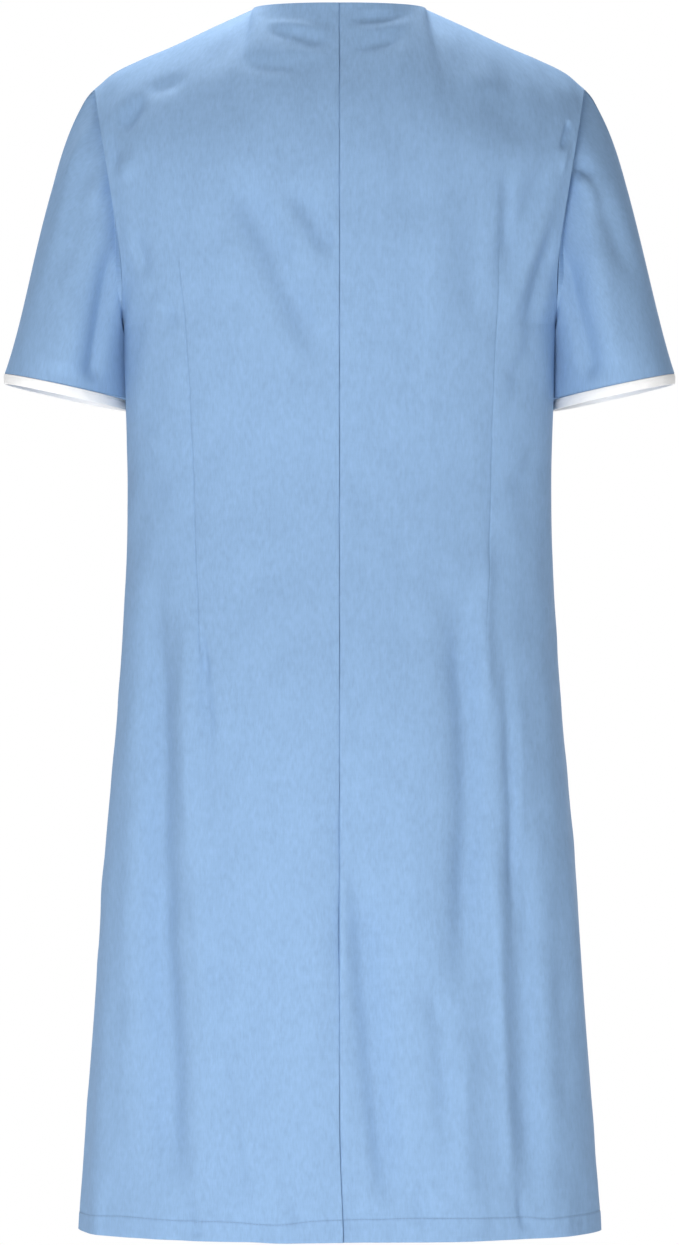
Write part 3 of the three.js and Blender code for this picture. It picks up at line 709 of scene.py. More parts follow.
def sleeve_points(steps, shares):
    """Left sleeve: for each place round the armhole, a Bezier curve from the armhole edge to a
    turned ellipse on a sloping plane. It leaves along the sleeve, more sideways at the shoulder."""
    start = armhole_loop(steps)
    s = np.arange(steps) / steps
    turn = math.pi - 2 * math.pi * s
    flat = np.stack([CUFF_HALF_WIDTH * np.cos(turn), CUFF_HALF_DEPTH * np.sin(turn)], axis=-1)
    cosine, sine = math.cos(CUFF_TURN), math.sin(CUFF_TURN)
    end_x = flat[:, 0] * cosine + flat[:, 1] * sine + CUFF_CENTRE[0]
    end_y = flat[:, 1] * cosine - flat[:, 0] * sine + CUFF_CENTRE[1]
    end = np.stack([end_x, end_y, cuff_height(end_x)], axis=-1)
    axis = unit(np.array([*CUFF_CENTRE, cuff_height(CUFF_CENTRE[0])]) - start.mean(axis=0))
    head = (1 - np.cos(2 * math.pi * s)) / 2
    leaving = unit(axis + np.outer(CAP_SPREAD * head, (1, 0, 0)))
    length = np.linalg.norm(end - start, axis=-1, keepdims=True)
    b = start + leaving * CAP_REACH * length
    c = end - unit(end - start) * CUFF_REACH * length
    return bezier(start, b, c, end, shares[:, None, None])


def outward_normals(points):
    """Normals of a tube that face away from its own middle."""
    normals = grid_normals(points, around=True)
    middle = points.mean(axis=1, keepdims=True)
    return normals * np.sign(((points - middle) * normals).sum())


def sleeve_cloth(side, settings):
    """Outer and inner face of a sleeve."""
    steps = SLEEVE_STEPS
    shares = spaced((0, 0.002), (0.008, 0.006), (0.044, 0.013), (0.95, 0.008), (0.99, 0.003), (1, 0))
    points = sleeve_points(steps, shares)
    normals = outward_normals(points)
    normals[-1, :, 2] = 0
    normals = unit(normals)
    down = lengths(points, 0)
    to_cuff = down[-1:] - down
    around = lengths(np.concatenate([points, points[:, :1]], axis=1), 1)
    girth = around[:, -1:]
    around = around[:, :-1]
    if side == "right":
        points, normals = points * (-1, 1, 1), normals * (-1, 1, 1)
    s = np.arange(steps) / steps
    grid_s, grid_t = np.broadcast_arrays(s[None], shares[:, None])
    places = np.stack([grid_s * SLEEVE_ASPECT, grid_t], axis=-1)
    creases = [
        crease._replace(path=tuple((a * SLEEVE_ASPECT, b) for a, b in crease.path))
        for crease in SLEEVE_CREASES[side]
    ]
    broad = settings.crease_strength * crease_relief(points, normals, places, creases)
    turn = 2 * math.pi * s[None]
    seed = 40 + len(side)
    ring_x, ring_y = 60 * np.cos(turn), 60 * np.sin(turn)
    broad += 0.5 * waves(ring_x, ring_y + 0.25 * down, seed, 10, 42, 60) * smooth(down / 25)
    from_underarm = np.minimum(s, 1 - s)[None]
    tuck = np.sqrt(np.abs(np.sin(turn))) * smooth((from_underarm - 0.06) / 0.1)
    tuck = tuck * smooth(down / 3) * np.exp(-down / TUCK_FADE)
    fullness = UNDERARM_FULLNESS * bell(from_underarm / 0.06) * smooth(down / 12)
    broad += fullness * (1 - smooth((down - 60) / 80))
    broad += 0.8 * bell((down - 9) / 8) * bell((s[None] - 0.5) / 0.08) - SLEEVE_TUCK * tuck
    pucker = waves(around, down, seed + 1, 8, 10, 80)
    fine = 0.12 * pucker * np.exp(-down / 5)
    fine += 0.16 * waves(around, down, seed + 2, 6, 5.5, 80) * np.exp(-to_cuff / 2.5)
    to_seam = np.minimum(around, girth - around)
    fine -= 0.35 * bell(to_seam / 0.9)
    fine -= roll(np.minimum(down, to_cuff), settings.seam_roll)
    thick = settings.cloth_thickness + 1.5 * bell(down / 3) + 0.6 * bell(to_cuff / 5)
    outer = points + normals * (broad + fine)[..., None]
    inner = points + normals * (broad - thick)[..., None]
    # Painted shade along the armhole seam, the cuff end and the underarm seam, as shade falls in their
    # grooves.
    line = np.maximum(0.4 * bell(down / 0.9), 0.9 * bell(to_cuff / 0.9))
    line = np.maximum(line, 0.6 * bell(to_seam / 0.9))
    place = np.stack([around, down, np.full(around.shape, 300.0 + 40 * len(side))], axis=-1)
    return Cloth(outer, inner, place, line)


def band_cloth(side, settings):
    """Outer and inner face of a white band: it carries on straight down from the sleeve's end,
    with soft folded edges and the small unevenness of a sewn binding."""
    ring = sleeve_points(SLEEVE_STEPS, np.array([0.99, 1.0]))
    normal = outward_normals(ring)[-1]
    normal[:, 2] = 0
    normal = unit(normal)
    drops = spaced((0, 0.12), (0.6, 0.4), (BAND_DEPTH - 1.2, 0.15), (BAND_DEPTH, 0))[:, None]
    fall = SEAM_GAP + drops * (1 - SEAM_GAP / BAND_DEPTH)
    points = ring[-1][None] - np.array([0, 0, 1]) * fall[..., None]
    around = lengths(np.concatenate([ring[-1:], ring[-1:, :1]], axis=1), 1)[:, :-1]
    if side == "right":
        points, normal = points * (-1, 1, 1), normal * (-1, 1, 1)
    seed = 70 + len(side)
    edge = np.minimum(drops, BAND_DEPTH - drops)
    rise = BAND_RISE + 0.35 * smooth(edge / 3) - roll(edge, 0.7)
    rise = rise + 0.12 * waves(around, drops, seed, 10, 14, 9)
    rise = rise - 0.22 * bell((drops - BAND_STITCH_DROP) / 0.5)
    thick = BAND_WALL - roll(edge, 0.5)
    outer = points + normal * rise[..., None]
    inner = points + normal * (BAND_RISE - thick)[..., None]
    place = np.stack([*np.broadcast_arrays(around, drops, np.full_like(rise, 500.0))], axis=-1)
    # Painted shadow: the band's top edge is darkened where the sleeve's hem edge overhangs it.
    line = np.broadcast_to(0.9 * bell(drops / 0.6), rise.shape)
    return Cloth(outer, inner, place, line)


# ---------------------------------------------------------------- meshes
def make_object(name, points, faces, material, smooth_shading=True):
    """A mesh object at the origin, from points in millimetres."""
    mesh = bpy.data.meshes.new(name)
    mesh.from_pydata(points * MM, [], faces)
    mesh.validate()
    if smooth_shading:
        mesh.shade_smooth()
    mesh.materials.append(material)
    piece = bpy.data.objects.new(name, mesh)
    bpy.context.scene.collection.objects.link(piece)
    return piece


def shell_faces(rows, columns, around):
    """Quads of a closed shell: outer grid, inner grid turned round, and the rims between them."""
    index = np.arange(rows * columns).reshape(rows, columns)
    if around:
        index = np.concatenate([index, index[:, :1]], axis=1)

    def strips(a, b):
        quads = np.stack([a[:-1], a[1:], b[1:], b[:-1]], axis=-1)
        return quads.reshape(-1, 4)

    inner = rows * columns
    parts = []
    grid = np.stack([index[:-1, :-1], index[:-1, 1:], index[1:, 1:], index[1:, :-1]], axis=-1)
    parts.append(grid.reshape(-1, 4))
    parts.append(grid.reshape(-1, 4)[:, ::-1] + inner)
    parts.append(strips(index[0] + inner, index[0]))
    parts.append(strips(index[-1], index[-1] + inner))
    if not around:
        parts.append(strips(index[:, 0], index[:, 0] + inner))
        parts.append(strips(index[:, -1] + inner, index[:, -1]))
    return np.concatenate(parts)


def cloth_object(name, cloth, material, around=False):
    """A closed cloth shell with its place and the strength of its painted seam shade as attributes on the
    points.
    """
    rows, columns = cloth.outer.shape[:2]
    faces = shell_faces(rows, columns, around)
    across = np.diff(cloth.outer, axis=1)[:-1]
    along = np.diff(cloth.outer, axis=0)[:, :-1]
    thickness = (cloth.outer - cloth.inner)[:-1, :-1]
    if (np.cross(across, along) * thickness).sum() < 0:
        faces = faces[:, ::-1]
    points = np.concatenate([cloth.outer.reshape(-1, 3), cloth.inner.reshape(-1, 3)])
    piece = make_object(name, points, faces, material)
    place = np.tile(cloth.place.reshape(-1, 3), (2, 1)) * MM
    attribute = piece.data.attributes.new("cloth_place", "FLOAT_VECTOR", "POINT")
    attribute.data.foreach_set("vector", place.astype(np.float32).ravel())
    line = np.concatenate([cloth.line.ravel(), np.zeros(cloth.line.size)])
    attribute = piece.data.attributes.new("seam_painted_shade", "FLOAT", "POINT")
    attribute.data.foreach_set("value", line.astype(np.float32))
    return piece


def stitch_mesh(routes, length, gap, radius, sink):
    """Joined stitches along routes. Each route is (points, normals). A stitch is a small tube of
    six sides, arched so that its ends dive into the cloth: its height is
    sink * (1 - 2 q^2) at q from -1 to 1, and its radius is radius * sqrt(1 - 0.8 q^4)."""
    sections = np.array([-1.0, -0.75, -0.3, 0.3, 0.75, 1.0])
    ring = np.arange(6) * math.pi / 3
    all_points, all_faces, first = [], [], 0
    for points, normals in routes:
        travelled = lengths(points[None], 1)[0]
        count = int(travelled[-1] // (length + gap))
        centre = (np.arange(count) + 0.5) * (length + gap)
        place = centre[:, None] + sections * length / 2
        at = np.stack([np.interp(place, travelled, points[:, k]) for k in range(3)], axis=-1)
        up = unit(np.stack([np.interp(place, travelled, normals[:, k]) for k in range(3)], axis=-1))
        ahead = unit(at[:, -1] - at[:, 0])[:, None]
        side = unit(np.cross(ahead, up))
        at = at + up * (sink * (1 - 2 * sections**2))[None, :, None]
        size = radius * np.sqrt(1 - 0.8 * sections**4)[None, :, None, None]
        spokes = (side[:, :, None] * np.cos(ring)[:, None] + up[:, :, None] * np.sin(ring)[:, None])
        all_points.append((at[:, :, None] + spokes * size).reshape(-1, 3))
        index = np.arange(len(sections) * 6).reshape(len(sections), 6)
        turned = np.roll(index, -1, axis=1)
        sides = np.stack([index[:-1], turned[:-1], turned[1:], index[1:]], axis=-1).reshape(-1, 4)
        caps = [index[0][::-1][[0, 1, 2, 3]], index[0][::-1][[0, 3, 4, 5]],
                index[-1][[0, 1, 2, 3]], index[-1][[0, 3, 4, 5]]]
        faces = np.concatenate([sides, np.array(caps)])
        starts = first + np.arange(count) * index.size
        all_faces.append((starts[:, None, None] + faces[None]).reshape(-1, 4))
        first += count * index.size
    return np.concatenate(all_points), np.concatenate(all_faces)


# ---------------------------------------------------------------- shader writing
class Value:
    """A shader socket that adds its Math nodes when it is used in an expression."""

    def __init__(self, finish, socket):
        self.finish = finish
        self.socket = socket

    def math(self, operation, *others):
        return self.finish.node("ShaderNodeMath", {"operation": operation}, dict(enumerate((self, *others))))

    def __add__(self, other):
        return self.math("ADD", other)

    def __sub__(self, other):
        return self.math("SUBTRACT", other)

    def __rsub__(self, other):
        return self.finish.constant_math("SUBTRACT", other, self)

    def __mul__(self, other):
        return self.math("MULTIPLY", other)

    __radd__ = __add__
    __rmul__ = __mul__


class Finish:
    """A material being written: its nodes come from one method."""

    def __init__(self, name):
        self.material = bpy.data.materials.new(name)
        self.material.use_nodes = True
        self.tree = self.material.node_tree
        self.shader = self.tree.nodes["Principled BSDF"]

    def node(self, kind, settings=None, sockets=None, output=0):
        node = self.tree.nodes.new(kind)
        for key, setting in (settings or {}).items():
            if key == "stops":
                ramp = node.color_ramp
                for number, (place, colour) in enumerate(setting):
                    stop = ramp.elements[number] if number < 2 else ramp.elements.new(place)
                    stop.position = place
                    stop.color = colour
            else:
                setattr(node, key, setting)
        for key, value in (sockets or {}).items():
            self.feed(node.inputs[key], value)
        return Value(self, node.outputs[output])

    def constant_math(self, operation, number, value):
        return self.node("ShaderNodeMath", {"operation": operation}, {0: number, 1: value})

    def feed(self, socket, value):
        if isinstance(value, Value):
            self.tree.links.new(value.socket, socket)
        else:
            socket.default_value = value

    def set(self, **values):
        """Feeds the shader's sockets, named with _ for a space."""
        for key, value in values.items():
            self.feed(self.shader.inputs[key.replace("_", " ").title()], value)

    def attribute(self, name, output):
        return self.node("ShaderNodeAttribute", {"attribute_name": name}, output=output)

    def stretched(self, place, factors):
        return self.node("ShaderNodeVectorMath", {"operation": "MULTIPLY"}, {0: place, 1: factors})

    def noise(self, place, factors, detail=2.0, roughness=0.5):
        """Noise over a place whose cells are 1/factor metres each way."""
        vector = self.stretched(place, factors)
        sockets = {"Vector": vector, "Scale": 1.0, "Detail": detail, "Roughness": roughness}
        return self.node("ShaderNodeTexNoise", None, sockets)

    def blend(self, share, first, second, how="MIX"):
        return self.node(
            "ShaderNodeMix", {"data_type": "RGBA", "blend_type": how},
            {0: share, 6: first, 7: second}, output=2)

    def bump(self, height, distance, strength, normal=None):
        sockets = {"Height": height, "Distance": distance, "Strength": strength}
        if normal is not None:
            sockets["Normal"] = normal
        return self.node("ShaderNodeBump", None, sockets)

    def weave(self, place, pitch):
        """Plain weave: sin(u) * sin(v) over threads of the given pitch in metres."""
        split = self.node("ShaderNodeSeparateXYZ", None, {0: place})
        node = split.socket.node
        u = Value(self, node.outputs[0]).math("MULTIPLY", 2 * math.pi / pitch).math("SINE")
        v = Value(self, node.outputs[1]).math("MULTIPLY", 2 * math.pi / pitch).math("SINE")
        return u * v


def shade(colour, factor):
    return (*(min(1.0, part * factor) for part in colour[:3]), 1.0)


def cloth_finish(name, colour, slub, pitch, sheen, seam_shade):
    """Woven cloth: vertical slubs and soft mottling in the colour, a plain weave in the bump,
    and painted shade that darkens the seam lines."""
    finish = Finish(name)
    place = finish.attribute("cloth_place", 1)
    line = finish.attribute("seam_painted_shade", 2)
    streaks = finish.noise(place, (800.0, 150.0, 20.0), 3.0)
    threads = finish.noise(place, (2300.0, 300.0, 20.0), 2.0)
    cross_threads = finish.noise(place, (60.0, 1500.0, 20.0), 2.0)
    clouds = finish.noise(place, (60.0, 36.0, 20.0), 3.0)
    blotches = finish.noise(place, (260.0, 140.0, 20.0), 2.0)
    tone = streaks * 0.36 + threads * 0.14 + cross_threads * 0.08 + blotches * 0.3 + clouds * 0.12
    tone = (tone - 0.5) * slub + 0.5
    body = finish.blend(tone, shade(colour, 0.8), shade(colour, 1.2))
    # Painted shade: the seam, dart and hem lines are blended towards a darker copy of the colour, as shade
    # falls in their grooves.
    painted_seam_shade = finish.blend(line * seam_shade, body, shade(colour, 0.42))
    rough = (threads - 0.5) * 0.12 + 0.82
    weave = finish.weave(place, pitch) * 0.5 + 0.5
    cloth_bump = finish.bump(weave * 0.6 + threads * 0.8 + streaks * 0.9, 0.00016, 0.35)
    finish.set(base_color=painted_seam_shade, roughness=rough, normal=cloth_bump)
    finish.set(sheen_weight=sheen, sheen_roughness=0.45, sheen_tint=shade(colour, 1.5))
    finish.shader.inputs["Specular IOR Level"].default_value = 0.25
    return finish.material


def thread_finish(name, colour):
    """Sewing thread: its twist is a fine diagonal grain."""
    finish = Finish(name)
    place = finish.node("ShaderNodeTexCoord", output=3)
    grain = finish.noise(place, (4200.0, 4200.0, 2600.0), 1.0)
    finish.set(base_color=finish.blend(grain, shade(colour, 0.8), shade(colour, 1.15)), roughness=0.7)
    finish.set(normal=finish.bump(grain, 0.00008, 0.5), sheen_weight=0.2)
    return finish.material


def button_finish(name, colour):
    """Pale pressed plastic with faint clouds and fine wear in its gloss."""
    finish = Finish(name)
    place = finish.node("ShaderNodeTexCoord", output=3)
    clouds = finish.noise(place, (240.0, 240.0, 240.0), 3.0)
    wear = finish.noise(place, (1800.0, 1800.0, 1800.0), 2.0)
    finish.set(base_color=finish.blend(clouds, shade(colour, 0.93), shade(colour, 1.06)))
    finish.set(roughness=wear * 0.18 + 0.24, coat_weight=wear * 0.2 + 0.1, coat_roughness=0.2)
    finish.set(normal=finish.bump(wear, 0.00003, 0.3))
    return finish.material


def floor_finish(name, colour):
    finish = Finish(name)
    place = finish.node("ShaderNodeTexCoord", output=3)
    clouds = finish.noise(place, (0.7, 0.7, 0.7), 2.0)
    finish.set(base_color=finish.blend(clouds, shade(colour, 0.985), shade(colour, 1.0)), roughness=0.9)
    return finish.material


# ---------------------------------------------------------------- sizes and colours a user changes
class DressSettings(PropertyGroup):
    """Sizes and colours of the dress."""

    cloth_colour: FloatVectorProperty(
        name="Cloth colour", description="Colour of the blue cloth", subtype="COLOR", size=3,
        min=0, max=1, default=(0.232, 0.372, 0.578))
    band_colour: FloatVectorProperty(
        name="Band colour", description="Colour of the sleeve bands", subtype="COLOR", size=3,
        min=0, max=1, default=(0.94, 0.935, 0.925))
    button_colour: FloatVectorProperty(
        name="Button colour", description="Colour of the buttons", subtype="COLOR", size=3,
        min=0, max=1, default=(0.80, 0.82, 0.84))
    cloth_thickness: FloatProperty(
        name="Cloth thickness", description="Thickness of one layer of cloth, in millimetres",
        min=0.3, max=1.2, default=0.7)
    seam_roll: FloatProperty(
        name="Seam roll", description="Radius of the cloth's turn into a seam, in millimetres",
        min=0.2, max=1.5, default=0.35)
    crease_strength: FloatProperty(
        name="Crease strength", description="Factor on the depth of the small creases",
        min=0, max=5, default=3.6)
    slub: FloatProperty(
        name="Slub", description="How uneven the threads look", min=0, max=5, default=1.6)
    thread_pitch: FloatProperty(
        name="Thread pitch", description="Width of two threads of the weave", unit="LENGTH",
        min=0.0002, max=0.002, default=0.0008)
    sheen: FloatProperty(
        name="Sheen", description="Soft brightness of the cloth at its edges", min=0, max=1, default=0.12)
    seam_shade: FloatProperty(
        name="Seam shade", description="How dark the seam lines are", min=0, max=1, default=0.22)
    stitch_length: FloatProperty(
        name="Stitch length", description="Length of a stitch, in millimetres", min=1, max=5, default=2.1)
    button_holes: IntProperty(
        name="Holes in a button", description="Number of sewing holes", min=2, max=4, default=4)


class StudioSettings(PropertyGroup):
    """Floor, lights and camera."""

    floor_height: FloatProperty(
        name="Floor height", description="Where the wearer would stand", unit="LENGTH", default=-1.43)
    floor_radius: FloatProperty(
        name="Floor radius", description="Radius of the floor", unit="LENGTH", default=3.6)
    camera_distance: FloatProperty(
        name="Camera distance", description="From the centre plane to the camera", unit="LENGTH", default=5.0)
    camera_height: FloatProperty(
        name="Camera height", description="Height of the camera", unit="LENGTH", default=-0.470)
    camera_lens: FloatProperty(
        name="Lens", description="Focal length on a 36 mm sensor, in millimetres", default=178.49)
    key_power: FloatProperty(
        name="Key power", description="Power of the main light", unit="POWER", default=49)
    world_strength: FloatProperty(
        name="World strength", description="Strength of the even light from all round", default=0.4)


# ---------------------------------------------------------------- materials, made once
def finishes():
    """The dress's materials by name, made on first use."""
    settings = bpy.context.scene.dress
    wanted = {
        "woven_blue": lambda: cloth_finish(
            "woven_blue", settings.cloth_colour, settings.slub, settings.thread_pitch, settings.sheen,
            settings.seam_shade),
        # The bands' painted shadow under the sleeve's hem is laid at half strength.
        "woven_white": lambda: cloth_finish(
            "woven_white", settings.band_colour, 0.35, settings.thread_pitch, 0.15, 0.5),
        "blue_thread": lambda: thread_finish("blue_thread", shade(settings.cloth_colour, 0.8)),
        "white_thread": lambda: thread_finish("white_thread", settings.band_colour),
        "pressed_plastic": lambda: button_finish("pressed_plastic", settings.button_colour),
    }
    for name, make in wanted.items():
        if name not in bpy.data.materials:
            make()
    return bpy.data.materials


def settle(piece, slot, *nodes):
    """Rides a piece on the dress and lets it stand for CAD nodes, whose parts it hides."""
    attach(piece, "root")
    if nodes:
        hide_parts(*nodes)
    return piece


# The cloth of each panel and band, kept by name for the stitching.
CLOTHS = {}


# ---------------------------------------------------------------- operators
class DRESS_OT_body_panels(Operator):
    """Make the four panels of the body"""

    bl_idname = "dress.body_panels"
    bl_label = "Body Panels"

    def execute(self, context):
        for name in ("back_left", "back_right", "front_left", "front_right"):
            cloth = panel_cloth(name, context.scene.dress)
            CLOTHS[name] = cloth
            piece = cloth_object(f"{name}_cloth", cloth, finishes()["woven_blue"])
            settle(piece, "blue_cloth", name)
        return {"FINISHED"}


class DRESS_OT_sleeves(Operator):
    """Make the two sleeves"""

    bl_idname = "dress.sleeves"
    bl_label = "Sleeves"

    def execute(self, context):
        for side in ("left", "right"):
            cloth = sleeve_cloth(side, context.scene.dress)
            piece = cloth_object(f"sleeve_{side}_cloth", cloth, finishes()["woven_blue"], around=True)
            settle(piece, "blue_cloth", f"sleeve_{side}")
        return {"FINISHED"}


class DRESS_OT_cuff_bands(Operator):
    """Make the white band of each sleeve"""

    bl_idname = "dress.cuff_bands"
    bl_label = "Cuff Bands"

    def execute(self, context):
        for side in ("left", "right"):
            cloth = band_cloth(side, context.scene.dress)
            CLOTHS[f"band_{side}"] = cloth
            piece = cloth_object(f"cuff_band_{side}_cloth", cloth, finishes()["woven_white"], around=True)
            settle(piece, "white_cloth", f"cuff_band_{side}")
        return {"FINISHED"}


def button_mesh():
    """One button in its own frame, facing +Z, as points and faces in millimetres: a turned
    profile with a rounded rim and a sunk middle, through which the sewing holes are cut."""
    profile = np.array([
        (0, 0), (5.6, 0), (6.6, 0.08), (7.4, 0.4), (7.86, 0.95), (8.0, 1.45), (7.86, 1.9),
        (7.45, 2.22), (6.9, 2.38), (6.3, 2.32), (5.8, 2.08), (5.4, 1.88), (4.9, 1.8), (0, 1.76)])
    sides = 72
    turn = np.arange(sides) * 2 * math.pi / sides
    rings = profile[1:-1]
    points = np.stack([
        rings[:, :1] * np.cos(turn), rings[:, :1] * np.sin(turn), np.repeat(rings[:, 1:], sides, 1)], axis=-1)
    index = np.arange(len(rings) * sides).reshape(len(rings), sides)
    turned = np.roll(index, -1, axis=1)
    faces = np.stack([index[:-1], turned[:-1], turned[1:], index[1:]], axis=-1).reshape(-1, 4).tolist()
    faces.append(index[0][::-1].tolist())
    faces.append(index[-1].tolist())
    return points.reshape(-1, 3), faces


def prism_faces(sides, first=0):
    """Walls and ends of an upright prism whose low ring of points is listed before its high ring."""
    high = first + sides
    faces = []
    for k in range(sides):
        after = (k + 1) % sides
        faces.append([first + k, first + after, high + after, high + k])
    return faces + [list(range(high - 1, first - 1, -1)), list(range(high, high + sides))]


def hole_cutters(count):
    """Upright prisms, one for each sewing hole."""
    ring = np.arange(HOLE_SIDES) * 2 * math.pi / HOLE_SIDES
    spots = [(math.cos(a), math.sin(a)) for a in (math.pi / 4 + np.arange(count) * 2 * math.pi / count)]
    points, faces = [], []
    for number, (x, y) in enumerate(spots):
        low = np.stack([
            HOLE_RADIUS * np.cos(ring) + x * HOLE_OFFSET * math.sqrt(2),
            HOLE_RADIUS * np.sin(ring) + y * HOLE_OFFSET * math.sqrt(2),
            np.full(HOLE_SIDES, -HOLE_BELOW)], axis=-1)
        points += [low, low + (0, 0, HOLE_LENGTH)]
        faces += prism_faces(HOLE_SIDES, number * 2 * HOLE_SIDES)
    return np.concatenate(points), faces


def button_template(context, material):
    """The finished button mesh: holes cut by a boolean and all edges softened by a bevel."""
    points, faces = button_mesh()
    body = make_object("button_template", points, faces, material)
    points, faces = hole_cutters(context.scene.dress.button_holes)
    cutter = make_object("button_cutter", points, faces, material)
    cut = body.modifiers.new("holes", "BOOLEAN")
    cut.object = cutter
    cut.solver = "EXACT"
    soft = body.modifiers.new("edges", "BEVEL")
    soft.width = 0.12 * MM
    soft.segments = 2
    soft.limit_method = "ANGLE"
    soft.angle_limit = math.radians(50)
    context.view_layer.update()
    evaluated = body.evaluated_get(context.evaluated_depsgraph_get())
    mesh = bpy.data.meshes.new_from_object(evaluated)
    mesh.name = "button"
    bpy.data.objects.remove(body)
    bpy.data.objects.remove(cutter)
    return mesh


def button_place(number):
    """Centre of a button's flat back and its facing, from its CAD node, in metres."""
    low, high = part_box(f"button_{number}")
    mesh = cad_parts[f"button_{number}"].data
    corners = np.empty(len(mesh.vertices) * 3)
    mesh.vertices.foreach_get("co", corners)
    corners = corners.reshape(-1, 3)
    centred = corners - corners.mean(axis=0)
    thin = np.linalg.svd(centred, full_matrices=False)[2][2]
    if thin[1] > 0:
        thin = -thin
    middle = np.array((low + high) / 2)
    back = middle - thin * BUTTON_THICKNESS / 2 * MM
    return Vector(back), Vector(thin)


class DRESS_OT_buttons(Operator):
    """Make the sewn buttons of the front, with their thread"""

    bl_idname = "dress.buttons"
    bl_label = "Buttons"

    def execute(self, context):
        template = button_template(context, finishes()["pressed_plastic"])
        routes = []
        for number in range(1, BUTTON_COUNT + 1):
            back, facing = button_place(number)
            turn = facing.to_track_quat("Z", "Y").to_matrix().to_4x4()
            turn.translation = back
            mesh = template.copy()
            mesh.transform(turn)
            mesh.shade_smooth()
            piece = bpy.data.objects.new(f"button_{number}_sewn", mesh)
            context.scene.collection.objects.link(piece)
            settle(piece, "button_plastic", f"button_{number}")
            across = np.array(turn.col[0][:3])
            upright = np.array(turn.col[1][:3])
            out = np.array(facing)
            base = np.array(back) / MM
            for side in (-1, 1):
                for strand in (-STRAND_OFFSET, STRAND_OFFSET):
                    ends = np.linspace(-HOLE_OFFSET, HOLE_OFFSET, 9)[:, None]
                    arch = STRAND_HEIGHT + STRAND_ARCH * (1 - (ends / HOLE_OFFSET) ** 4)
                    points = (base + ends * upright + (side * HOLE_OFFSET + strand) * across + arch * out)
                    dive = points[[0, -1]] - out * STRAND_DIVE
                    route = np.concatenate([dive[:1], points, dive[1:]])
                    routes.append((route, np.broadcast_to(across, route.shape)))
        points, faces = cords_mesh(routes, BUTTON_THREAD_RADIUS)
        threads = make_object("button_threads", points, faces, finishes()["white_thread"])
        settle(threads, "white_cloth")
        return {"FINISHED"}


def cords_mesh(routes, radius):
    """Round threads of eight sides along routes of (points, side directions), joined."""
    ring = np.arange(8) * math.pi / 4
    all_points, all_faces, first = [], [], 0
    for points, sides in routes:
        ahead = unit(np.gradient(points, axis=0))
        side = unit(sides - (sides * ahead).sum(axis=-1, keepdims=True) * ahead)
        up = np.cross(ahead, side)
        spokes = side[:, None] * np.cos(ring)[:, None] + up[:, None] * np.sin(ring)[:, None]
        all_points.append((points[:, None] + radius * spokes).reshape(-1, 3))
        index = first + np.arange(len(points) * 8).reshape(len(points), 8)
        turned = np.roll(index, -1, axis=1)
        quads = np.stack([index[:-1], turned[:-1], turned[1:], index[1:]], axis=-1).reshape(-1, 4)
        all_faces += quads.tolist() + [index[0][::-1].tolist(), index[-1].tolist()]
        first += index.size
    return np.concatenate(all_points), all_faces


def outside_route(cloth, row_values):
    """Route over a panel's outer face at a given distance up each column, with its normals."""
    up_way = lengths(cloth.outer, 0)
    points, normals = [], []
    facing = unit(cloth.outer - cloth.inner)
    for k in range(3):
        points.append(np.array([
            np.interp(value, up_way[:, c], cloth.outer[:, c, k]) for c, value in enumerate(row_values)]))
        normals.append(np.array([
            np.interp(value, up_way[:, c], facing[:, c, k]) for c, value in enumerate(row_values)]))
    return np.stack(points, axis=-1), unit(np.stack(normals, axis=-1))


class DRESS_OT_stitching(Operator):
    """Make the stitches of the hem and the bands"""

    bl_idname = "dress.stitching"
    bl_label = "Stitching"

    def execute(self, context):
        settings = context.scene.dress
        routes = []
        for name in ("back_left", "back_right", "front_left", "front_right"):
            cloth = CLOTHS[name]
            hem = read(HEM_DEPTH[name], "depth", np.abs(cloth.outer[0, :, 0]))
            points, normals = outside_route(cloth, hem)
            routes.append((points[3:-3], normals[3:-3]))
        points, faces = stitch_mesh(
            routes, settings.stitch_length, STITCH_GAP, HEM_STITCH_RADIUS, HEM_STITCH_SINK)
        settle(make_object("hem_stitches", points, faces, finishes()["blue_thread"]), "blue_cloth")
        for side in ("left", "right"):
            cloth = CLOTHS[f"band_{side}"]
            drops = cloth.place[:, 0, 1]
            row = int(np.abs(drops - BAND_STITCH_DROP).argmin())
            points = cloth.outer[row]
            normals = unit(cloth.outer[row] - cloth.inner[row])
            route = [(np.concatenate([points, points[:1]]), np.concatenate([normals, normals[:1]]))]
            points, faces = stitch_mesh(
                route, BAND_STITCH_LENGTH, STITCH_GAP, BAND_STITCH_RADIUS, BAND_STITCH_SINK)
            piece = make_object(f"band_stitches_{side}", points, faces, finishes()["white_thread"])
            settle(piece, "white_cloth")
        return {"FINISHED"}


def area_light(name, place, target, size, power, colour=(1, 1, 1)):
    light = bpy.data.lights.new(name, "AREA")
    light.shape = "RECTANGLE"
    light.size, light.size_y = size
    light.energy = power
    light.color = colour
    lamp = bpy.data.objects.new(name, light)
    lamp.location = place
    lamp.rotation_euler = (Vector(target) - Vector(place)).to_track_quat("-Z", "Y").to_euler()
    lamp.visible_camera = False
    bpy.context.scene.collection.objects.link(lamp)


